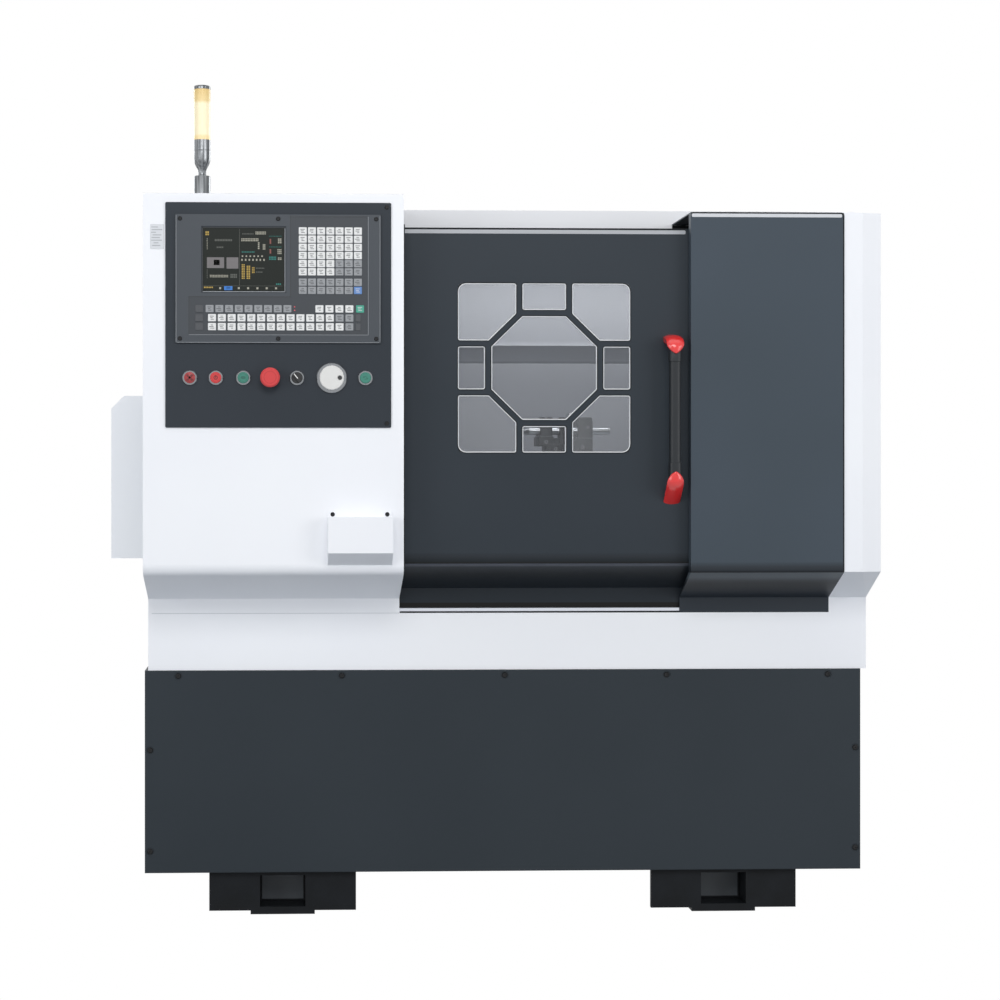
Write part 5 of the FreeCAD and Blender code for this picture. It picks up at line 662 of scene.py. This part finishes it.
# Each pane gets a raised bead coloured near white, a painted highlight along its edges, and outside
# it a thin black ring on the door's face, a painted shadow line.
shape = bmesh.new()
for outline in outlines:
    strip(shape, [rim_loop(outline, -PANE_SHADOW_WIDE, PANE_SHADOW_FACE),
                  rim_loop(outline, -0.3 * MM, PANE_SHADOW_FACE)], 1)
    if len(outline) == len(corner_pane):
        # A black patch fills what the rounder rim leaves of the window's corner.
        strip(shape, [rim_loop(outline, 0, PATCH_FACE, CORNER_CUT),
                      rim_loop(outline, 0.1 * MM, PATCH_FACE)], 1)
    strip(shape, [rim_loop(outline, 0, DOOR_FACE),
                  rim_loop(outline, 0, DOOR_FACE - RIM_OUT * 0.6),
                  rim_loop(outline, RIM_WIDE * 0.3, DOOR_FACE - RIM_OUT),
                  rim_loop(outline, RIM_WIDE * 0.7, DOOR_FACE - RIM_OUT),
                  rim_loop(outline, RIM_WIDE, DOOR_FACE)])
piece("window_rims", shape, [rim_highlight, shadow_and_patch_black], "door")

# The corner panes carry a thin film, a little paler than the bare sheet.
film_clear = surface("pale_corner_film", "D3D6DB", 0.2, Alpha=0.1)
shape = bmesh.new()
for outline in outlines:
    if len(outline) == len(corner_pane):
        flat(shape, facing_front(shrunk(placed(outline), RIM_WIDE), DOOR_FACE - 0.2 * MM))
piece("corner_pane_films", shape, [film_clear], "door", smooth=False)


# ---------------------------------------------------------------- button marks

mark_dark = surface("dark_red_print", "5E1719", 0.4)
mark_red = surface("deep_red_plastic", "B02A2D", 0.35)
mark_green = surface("deep_green_print", "1F5E50", 0.4)
mark_white = surface("white_print", "E8E8E6", 0.4)
dimple_shadow = surface("painted_dimple_shadow", "202225", 0.5)
LIFT = 0.08 * MM


def mark(name, control, drawing, looks, body):
    """Print on a control's face, and painted shade in the handwheel's dimple: the drawing has the
    face's middle and its height over Y.
    """
    shape = bmesh.new()
    middle = (low(control) + high(control)) / 2
    drawing(shape, middle.x, middle.z, low(control).y - LIFT)
    piece(name, shape, looks, body, smooth=False)


def cross(shape, x, z, y):
    reach, thick = 4.6 * MM, 3.2 * MM
    for lean in (-reach, reach):
        bar(shape, x - reach, z - lean, x + reach, z + lean, thick, y)


def ring_and_stroke(shape, x, z, y):
    disc(shape, x, z, 8.2 * MM, y, 0, 32, 7.3 * MM)
    disc(shape, x, z, 4.4 * MM, y, 1, 24, 2.7 * MM)
    bar(shape, x, z - 0.6 * MM, x, z + 3.6 * MM, 1.6 * MM, y, 1)


def ring_and_oval(shape, x, z, y):
    disc(shape, x, z, 8.4 * MM, y, 0, 32, 7.6 * MM)
    flat(shape, facing_front(circle(5.4 * MM, 24, 3.4 * MM), y, x, z))


def two_hooks(shape, x, z, y):
    thick = 1.3 * MM
    for way in (-MM, MM):
        corner = (x - 4.4 * way, z + 1.6 * way)
        bar(shape, *corner, x + 1.6 * way, z + 3.4 * way, thick, y)
        bar(shape, *corner, x - 1.8 * way, z - 0.4 * way, thick, y)


def shoulder_ring(shape, x, z, y):
    disc(shape, x, z, 12.8 * MM, y, 0, 48, 11.8 * MM)


def pointer(shape, x, z, y):
    lean, tip, tail = math.radians(40), 9.0 * MM, 1.5 * MM
    bar(shape, x - tip * math.sin(lean), z + tip * math.cos(lean), x + tail * math.sin(lean),
        z - tail * math.cos(lean), 1.7 * MM, y)


# A dark disc in the handwheel's finger dimple: painted shade in its hollow.
def dimple(shape, x, z, y):
    disc(shape, x + 16.5 * MM, z, 4.2 * MM, y, 0, 24)


mark("power_lamp_cross", "power_lamp", cross, [mark_dark], "machine")
mark("stop_button_mark", "stop_button", ring_and_stroke, [mark_red, mark_dark], "stop_button")
mark("start_button_mark", "start_button", ring_and_oval, [mark_green], "start_button")
mark("cycle_button_mark", "cycle_button", two_hooks, [mark_green], "cycle_button")
mark("emergency_stop_ring", "emergency_stop_head", shoulder_ring, [mark_red], "emergency_head")
mark("selector_pointer", "mode_selector", pointer, [mark_white], "selector")
mark("handwheel_dimple", "handwheel", dimple, [dimple_shadow], "handwheel")

# ---------------------------------------------------------------- small trim of the enclosure

housing_low, housing_high = low("control_housing"), high("control_housing")
cover_low, cover_high = low("right_cover"), high("right_cover")
TRAY_TOP, TRAY_FACE = high("coolant_tray").z, low("coolant_tray").y

# The narrow silver plate left of the control panel. Its finish is a few fields, each with its
# ends in millimetres from the plate's left edge.
plate_silver = surface("etched_plate", "C2C5CA", 0.35, Metallic=0.3)
plate_grey = surface("etched_plate_grey", "93979C", 0.4, Metallic=0.3)
PLATE_WIDE, PLATE_TALL = 28 * MM, 51 * MM
PLATE_LEFT, PLATE_TOP = housing_low.x + 15 * MM, housing_high.z - 64 * MM
PLATE_FIELDS = ((3, 15), (4, 24), (3, 11), (6, 22), (4, 19), (3, 23), (8, 16), (5, 20))
shape = bmesh.new()
tile(shape, PLATE_LEFT + PLATE_WIDE / 2, PLATE_TOP - PLATE_TALL / 2, PLATE_WIDE, PLATE_TALL,
     housing_low.y, 0.8 * MM, 1.5 * MM, 0.3 * MM)
for row, (start, end) in enumerate(PLATE_FIELDS):
    z = PLATE_TOP - (6 + 5.4 * row) * MM
    bar(shape, PLATE_LEFT + start * MM, z, PLATE_LEFT + end * MM, z, 1.8 * MM,
        housing_low.y - 0.86 * MM, 1)
piece("small_silver_plate", shape, [plate_silver, plate_grey], "machine")

# The fine seam between the housing's apron and the coolant tray, as a line of painted shadow.
seam_shadow_grey = surface("painted_seam_shadow", "C3C8CD", 0.5)
shape = bmesh.new()
bar(shape, housing_low.x + 8 * MM, TRAY_TOP, housing_high.x - 1 * MM, TRAY_TOP, 1.2 * MM,
    TRAY_FACE - 0.1 * MM)
piece("apron_seam", shape, [seam_shadow_grey], "machine", smooth=False)


def top_strips(name, node, x0, x1, bands, looks, body):
    """Flat strips along a sheet's top edge; a band is its two edges below the top and a look."""
    shape = bmesh.new()
    for upper, lower, look in bands:
        tall = (lower - upper) * MM
        tile(shape, (x0 + x1) / 2, high(node).z - (upper + lower) / 2 * MM, x1 - x0, tall,
             low(node).y, 0.5 * MM, tall * 0.3, 0.2 * MM, look)
    piece(name, shape, looks, body)


# Painted highlight on the top bevels of the right cover and the door, as pale flat strips; on the
# door a black band above it is a painted shadow line.
cover_bevel_highlight = surface("painted_highlight_cover_bevel", "CDD0D5", 0.4)
door_bevel_highlight = surface("painted_highlight_door_bevel", "A9ACB1", 0.4)
top_strips("cover_top_strip", "right_cover", cover_low.x + 2 * MM, cover_high.x - 5 * MM,
           [(3.2, 10.4, 0)], [cover_bevel_highlight], "machine")
top_strips("door_top_strip", "door_panel", low("door_panel").x + 10 * MM, cover_low.x - 6 * MM,
           [(0.3, 3.8, 1), (4.2, 12.4, 0)], [door_bevel_highlight, painted_shadow_black], "door")

# A black strip of painted shade along the right cover's top and down its right side to the bend,
# where its rounded edge turns away from the light.
EDGE_SHADOW_WIDE, EDGE_SHADOW_ROUND = 2.6 * MM, 7 * MM
COVER_BEND_Z = cover_low.z + 92 * MM


def edge_shadow_line(inset):
    """The line that the painted shade's outer edge follows, moved inwards."""
    x, z, radius = cover_high.x - EDGE_SHADOW_ROUND, cover_high.z - EDGE_SHADOW_ROUND, EDGE_SHADOW_ROUND - inset
    turns = [k * math.pi / 12 for k in range(1, 7)]
    return ([(cover_low.x, cover_high.z - inset), (x, cover_high.z - inset)]
            + [(x + radius * math.sin(turn), z + radius * math.cos(turn)) for turn in turns]
            + [(cover_high.x - inset, COVER_BEND_Z)])


outer, inner = edge_shadow_line(0), edge_shadow_line(EDGE_SHADOW_WIDE)
shape = bmesh.new()
for outer_a, outer_b, inner_a, inner_b in zip(outer, outer[1:], inner, inner[1:]):
    flat(shape, facing_front([outer_a, inner_a, inner_b, outer_b], cover_low.y - 0.6 * MM))
piece("cover_edge_shadow", shape, [painted_shadow_black], "machine", smooth=False)


def shadow_cord(shape, x0, x1, y, z0, z1, deep=3 * MM):
    """A square black bar from left to right, a block of painted shadow."""
    strip(shape, [[(x, y, z0), (x, y + deep, z0), (x, y + deep, z1), (x, y, z1)]
                  for x in (x0, x1)])


# Black strips of painted shadow in the gaps of the door opening: along the sill's edge and down
# the housing's edge, which is upright above its bend.
HOUSING_BEND_Z = housing_low.z + 102 * MM
shape = bmesh.new()
shadow_cord(shape, housing_high.x + 1 * MM, cover_low.x, TRAY_FACE, TRAY_TOP, TRAY_TOP + 3.5 * MM)
x = housing_high.x + 1.2 * MM
bar(shape, x, HOUSING_BEND_Z, x, high("door_panel").z - 3 * MM, 2.4 * MM, housing_low.y + 3 * MM)
piece("opening_shadow_lines", shape, [painted_shadow_black], "machine", smooth=False)

# A black block of painted shadow between the hood and the right cover's roof, under the roof.
shape = bmesh.new()
shadow_cord(shape, cover_low.x + 0.5 * MM, cover_high.x - 4 * MM, low("hood").y - 4 * MM,
     high("door_panel").z + 4 * MM, cover_high.z - 3.5 * MM)
piece("cover_roof_shadow", shape, [painted_shadow_black], "machine", smooth=False)

# Painted light on the end faces of the feet's levelling pockets: flat faces paler than the painted
# casting, standing in for light that reaches into the pockets. Each keeps a margin from the
# pocket's walls and lies just before its end. The pocket's floor and roof are POCKET_LOW and
# POCKET_HIGH below the foot's top.
pocket_fill_light = surface("painted_light_pocket_end", "474D53", 0.5)
POCKET_WIDE, POCKET_DEEP, POCKET_LOW, POCKET_HIGH, MARGIN = 97 * MM, 76 * MM, 76 * MM, 9 * MM, 4 * MM
shape = bmesh.new()
for node in ("left_feet", "right_feet"):
    foot_low, foot_high = low(node), high(node)
    x, half = (foot_low.x + foot_high.x) / 2, POCKET_WIDE / 2 - MARGIN
    z0, z1 = foot_high.z - POCKET_LOW + MARGIN, foot_high.z - POCKET_HIGH - MARGIN
    end = POCKET_DEEP - 0.4 * MM
    for y in (foot_low.y + end, foot_high.y - end):
        flat(shape, facing_front([(x - half, z0), (x + half, z0), (x + half, z1), (x - half, z1)], y))
piece("pocket_end_faces", shape, [pocket_fill_light], "machine", smooth=False)

# ---------------------------------------------------------------- signal lamp's column

# Foot tube, waisted neck, bell and sleeve below the lens, and the cap above it: radius and height
# in millimetres, above the roof and above the lens.
COLUMN = [(24, 0), (24, 3), (20.6, 4), (20.6, 6), (20.2, 8), (20.2, 119), (19, 121), (11, 121.6),
          (10, 123), (9.6, 128), (9.9, 133), (11.2, 138), (14, 143), (17, 149), (19.2, 156),
          (20, 163), (20, 179), (19.4, 179.6), (19.4, 180.6), (20, 181.2), (20, 205)]
CAP = [(18, 0), (20, 0), (20, 5.5), (18.5, 7.6), (16, 9), (10, 9)]
axis = (low("signal_lamp_fittings") + high("signal_lamp_fittings")) / 2
shape = bmesh.new()
for profile, foot_z in ((COLUMN, low("signal_lamp_fittings").z), (CAP, high("signal_lamp_lens").z)):
    lathe(shape, axis.x, axis.y, [(r * MM, foot_z + z * MM) for r, z in profile])
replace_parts(piece("lamp_column_and_cap", shape, [lamp_metal], "machine"),
            "signal_lamp_fittings")

# ---------------------------------------------------------------- the door's handle

caps_low, caps_high = low("handle_caps"), high("handle_caps")
CAP_X = (caps_low.x + caps_high.x) / 2
CROWN, WALL, SWELL, FULLNESS, BACK_SHARE = 1.5, 4.0, 0.3, 0.96, 0.92


def elbow_cap(shape, stations, end_z, way):
    """A shell that runs from its tip on the grip's front round the elbow to the door.

    A station is the distance behind the grip's front, the distance from the handle's end and
    the half width. The front is crowned, and way is 1 for the upper end and -1 for the lower.
    """
    places = [(back, end_z / MM - way * reach, half) for back, reach, half in stations]
    loops = []
    for index, (back, z, half) in enumerate(places):
        before = places[max(index - 1, 0)]
        after = places[min(index + 1, len(places) - 1)]
        along = Vector((after[0] - before[0], after[1] - before[1])).normalized()
        inward = Vector((along.y, -along.x)) * way
        crown = CROWN + half * SWELL
        floor = crown + WALL + half * SWELL
        ring = []
        for k in range(11):
            u = -1 + k / 5
            ring.append((u * half, crown * (1 - math.sqrt(1 - u * u * FULLNESS))))
        ring += [(half * BACK_SHARE, floor), (0, floor), (-half * BACK_SHARE, floor)]
        loops.append([(CAP_X + u * MM,
                       min(caps_low.y + (back + inward.x * deep) * MM, caps_high.y),
                       (z + inward.y * deep) * MM) for u, deep in ring])
    solid(shape, loops)


shape = bmesh.new()
elbow_cap(shape, [(0.4, 42.5, 2), (0, 40.5, 5.5), (0, 37, 9.5), (0, 33, 13), (0.2, 28.5, 15.8),
                  (1.5, 23, 17.4), (4.5, 17.5, 18), (10, 12, 18.2), (18, 7.5, 18.3),
                  (30, 3.5, 18.3), (44, 1.5, 18.3), (58, 0.5, 18.3)], caps_high.z, 1)
elbow_cap(shape, [(0.4, 70, 2), (0, 68, 5.5), (0, 64.5, 9.5), (0, 60, 12.8), (0, 55, 15.2),
                  (0.6, 50, 16.6), (3, 44.5, 17.2), (8, 38.5, 17.4), (20, 28.5, 17.4),
                  (40, 14.5, 17.4), (58, 2, 17.4)], caps_low.z, -1)
bmesh.ops.recalc_face_normals(shape, faces=shape.faces)
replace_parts(piece("handle_end_caps", shape, [red_plastic], "door"), "handle_caps")

# The dark grip between the red caps: a slimmer middle between two wider sockets, whose ends are
# chamfered inside the caps.
grip_low, grip_high = low("door_handle"), high("door_handle")
GRIP_HALF, GRIP_DEEP, GRIP_ROUND = (grip_high.x - grip_low.x) / 2, 24 * MM, 8 * MM
SLIM_BY, CHAMFER = 1 * MM, 3 * MM
LOWER_END, LOWER_JOINT = grip_low.z + 44 * MM, grip_low.z + 85.5 * MM
UPPER_END, UPPER_JOINT = grip_high.z - 14 * MM, grip_high.z - 55.5 * MM
loops = []
for z, inset in ((LOWER_END, CHAMFER), (LOWER_END + 3 * MM, 0), (LOWER_JOINT - 1 * MM, 0),
                 (LOWER_JOINT, SLIM_BY), (UPPER_JOINT, SLIM_BY), (UPPER_JOINT + 1 * MM, 0),
                 (UPPER_END - 6 * MM, 0), (UPPER_END, CHAMFER)):
    half, front, back = GRIP_HALF - inset, grip_low.y + inset, grip_low.y + GRIP_DEEP - inset
    outline = [(CAP_X - half, front), (CAP_X + half, front), (CAP_X + half, back),
               (CAP_X - half, back)]
    loops.append([(x, y, z) for x, y in arc_corners(outline, GRIP_ROUND, 4)])
shape = bmesh.new()
solid(shape, loops)
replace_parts(piece("door_grip", shape, [handle_plastic], "door"), "door_handle")

# ---------------------------------------------------------------- tool holders

# Two holders, each a post, a clamp and its slotted head with screws on top. A block is its left
# and right side from the holders' left, its lower and upper side below their top, and how far it
# stands back from their front and rear, in millimetres. FOOT is the depth of their foot.
tool_low, tool_high = low("tool_blocks"), high("tool_blocks")
FOOT = (tool_high.z - tool_low.z) / MM
HOLDER_BLOCKS = [
    (12, 51, FOOT, 59, 0, 0), (-6, 28, 64, 42, 4, 0), (-2, 25, 47, 3, 6, 69), (-2, 25, 47, 11, 69, 4),
    (41, 53, 62, 3, 6, 69), (47, 53, 62, 11, 69, 4), (25, 41, 62, 46, 8, 6), (-4, 10, 5, 0, 10, 72),
    (13, 26, 5, 0, 10, 72), (40, 54, 5, 0, 10, 72), (67, 115, FOOT, 46, 0, 0),
    (82, 114, 49, 0, 5, 4), (106, 116, 51, 7, 8, 8)]
shape = bmesh.new()
for x0, x1, lower, upper, front, rear in HOLDER_BLOCKS:
    block(shape, tool_low.x + x0 * MM, tool_low.x + x1 * MM, tool_low.y + front * MM,
          tool_high.y - rear * MM, tool_high.z - lower * MM, tool_high.z - upper * MM, 1.6 * MM)
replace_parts(piece("tool_holders", shape, [tool_steel], "cross_slide"), "tool_blocks")

# Clamping screws in the holders' fronts, as rings round their sockets: place, radius and how far
# the front stands back there.
screw_steel = surface("screw_steel", "6A6D70", 0.3, Metallic=0.9)
SCREWS = ((11, 55, 4.5, 4), (32, 71, 4, 0), (32, 107, 4, 0), (92, 67, 4.5, 0), (92, 107, 4.5, 0),
          (105, 22, 3.5, 5))
SOCKET_SHARE = 0.45
shape = bmesh.new()
for x, below, radius, back in SCREWS:
    disc(shape, tool_low.x + x * MM, tool_high.z - below * MM, radius * MM,
         tool_low.y + (back - 0.2) * MM, 0, 20, radius * SOCKET_SHARE * MM)
piece("holder_screws", shape, [screw_steel], "cross_slide", smooth=False)


# ---------------------------------------------------------------- stage, lights and camera

PURE_WHITE = (1, 1, 1, 1)


def white_where_seen(tree, plain, white, output):
    """White for the rays that show the background: camera, gloss and clear sheets."""
    seen = add(tree, "ShaderNodeLightPath")
    clear = add(tree, "ShaderNodeMath", None,
                {0: seen.outputs["Is Glossy Ray"], 1: seen.outputs["Is Transmission Ray"]},
                operation="MAXIMUM")
    shown = add(tree, "ShaderNodeMath", None,
                {0: seen.outputs["Is Camera Ray"], 1: clear.outputs["Value"]},
                operation="MAXIMUM")
    choice = add(tree, "ShaderNodeMixShader", None,
                 {0: shown.outputs["Value"], 1: plain.outputs[0], 2: white.outputs[0]})
    add(tree, output, None, {"Surface": choice.outputs["Shader"]})


# Studio floor: pure white to the camera and in the gloss, pale paper to the light.
studio = bpy.data.materials.new("white_studio_paper")
studio.use_nodes = True
tree = studio.node_tree
tree.nodes.clear()
white_where_seen(tree, add(tree, "ShaderNodeBsdfDiffuse", {"Color": linear("B2B8BF")}),
                 add(tree, "ShaderNodeEmission", {"Color": PURE_WHITE, "Strength": 1.0}),
                 "ShaderNodeOutputMaterial")
FLOOR = 6.0
sheet = bpy.data.meshes.new("studio_floor")
sheet.from_pydata([(-FLOOR, -FLOOR, 0), (FLOOR, -FLOOR, 0), (FLOOR, FLOOR, 0), (-FLOOR, FLOOR, 0)],
                  [], [(0, 1, 2, 3)])
sheet.materials.append(studio)
floor = in_scene("studio_floor", sheet)

# The world: white where it is seen, a plain grey light where it lights the machine.
world = bpy.data.worlds.new("studio")
bpy.context.scene.world = world
world.use_nodes = True
tree = world.node_tree
tree.nodes.clear()
white_where_seen(tree, add(tree, "ShaderNodeBackground", {"Color": PURE_WHITE, "Strength": 0.34}),
                 add(tree, "ShaderNodeBackground", {"Color": PURE_WHITE, "Strength": 1.0}),
                 "ShaderNodeOutputWorld")


def softbox(name, place, target, wide, tall, watts):
    """A large soft light turned towards a point."""
    light = bpy.data.lights.new(name, "AREA")
    light.shape = "RECTANGLE"
    light.size = wide
    light.size_y = tall
    light.energy = watts
    lamp = in_scene(name, light)
    lamp.location = place
    lamp.rotation_euler = (Vector(target) - Vector(place)).to_track_quat("-Z", "Y").to_euler()
    return lamp


softbox("overhead", (0, -1.2, 4.2), (0, -0.2, 1.0), 3.6, 2.4, 18)
softbox("front_left", (-3.9, -4.4, 1.7), (0, 0, 1.0), 2.6, 2.6, 70)
softbox("front_right", (3.9, -4.4, 1.7), (0, 0, 1.0), 2.6, 2.6, 70)
softbox("front_centre", (-0.2, -5.0, 3.4), (0, 0, 1.0), 2.4, 1.6, 85)
softbox("rear_left", (-3.6, 3.8, 2.6), (0, 0, 0.9), 2.6, 2.6, 100)
softbox("rear_right", (3.6, 3.8, 2.6), (0, 0, 0.9), 2.6, 2.6, 100)
# The work lamp inside the enclosure, above the tools.
work_lamp = softbox("chamber_lamp", (0.27, -0.17, 1.37), (0.27, 0.2, 1.20), 0.8, 0.04, 1.5)
work_lamp.visible_camera = False

# The photograph's eye point: 5 m before the right cover and just below the window's foot. The
# camera is turned a little to the right, so that its shift stays small.
camera = bpy.data.cameras.new("camera")
eye = in_scene("camera", camera)
bpy.context.scene.camera = eye
eye.location = (housing_low.x + 0.290, cover_low.y - 5.0, low("window_pane").z - 0.039)
YAW = 2.28
eye.rotation_euler = (math.radians(90), 0, -math.radians(YAW))
camera.lens = 86.97
camera.sensor_width = 36.0
camera.clip_end = 60.0
camera.shift_x = 0.119
camera.shift_y = -0.022

bpy.context.scene.view_settings.view_transform = "Standard"
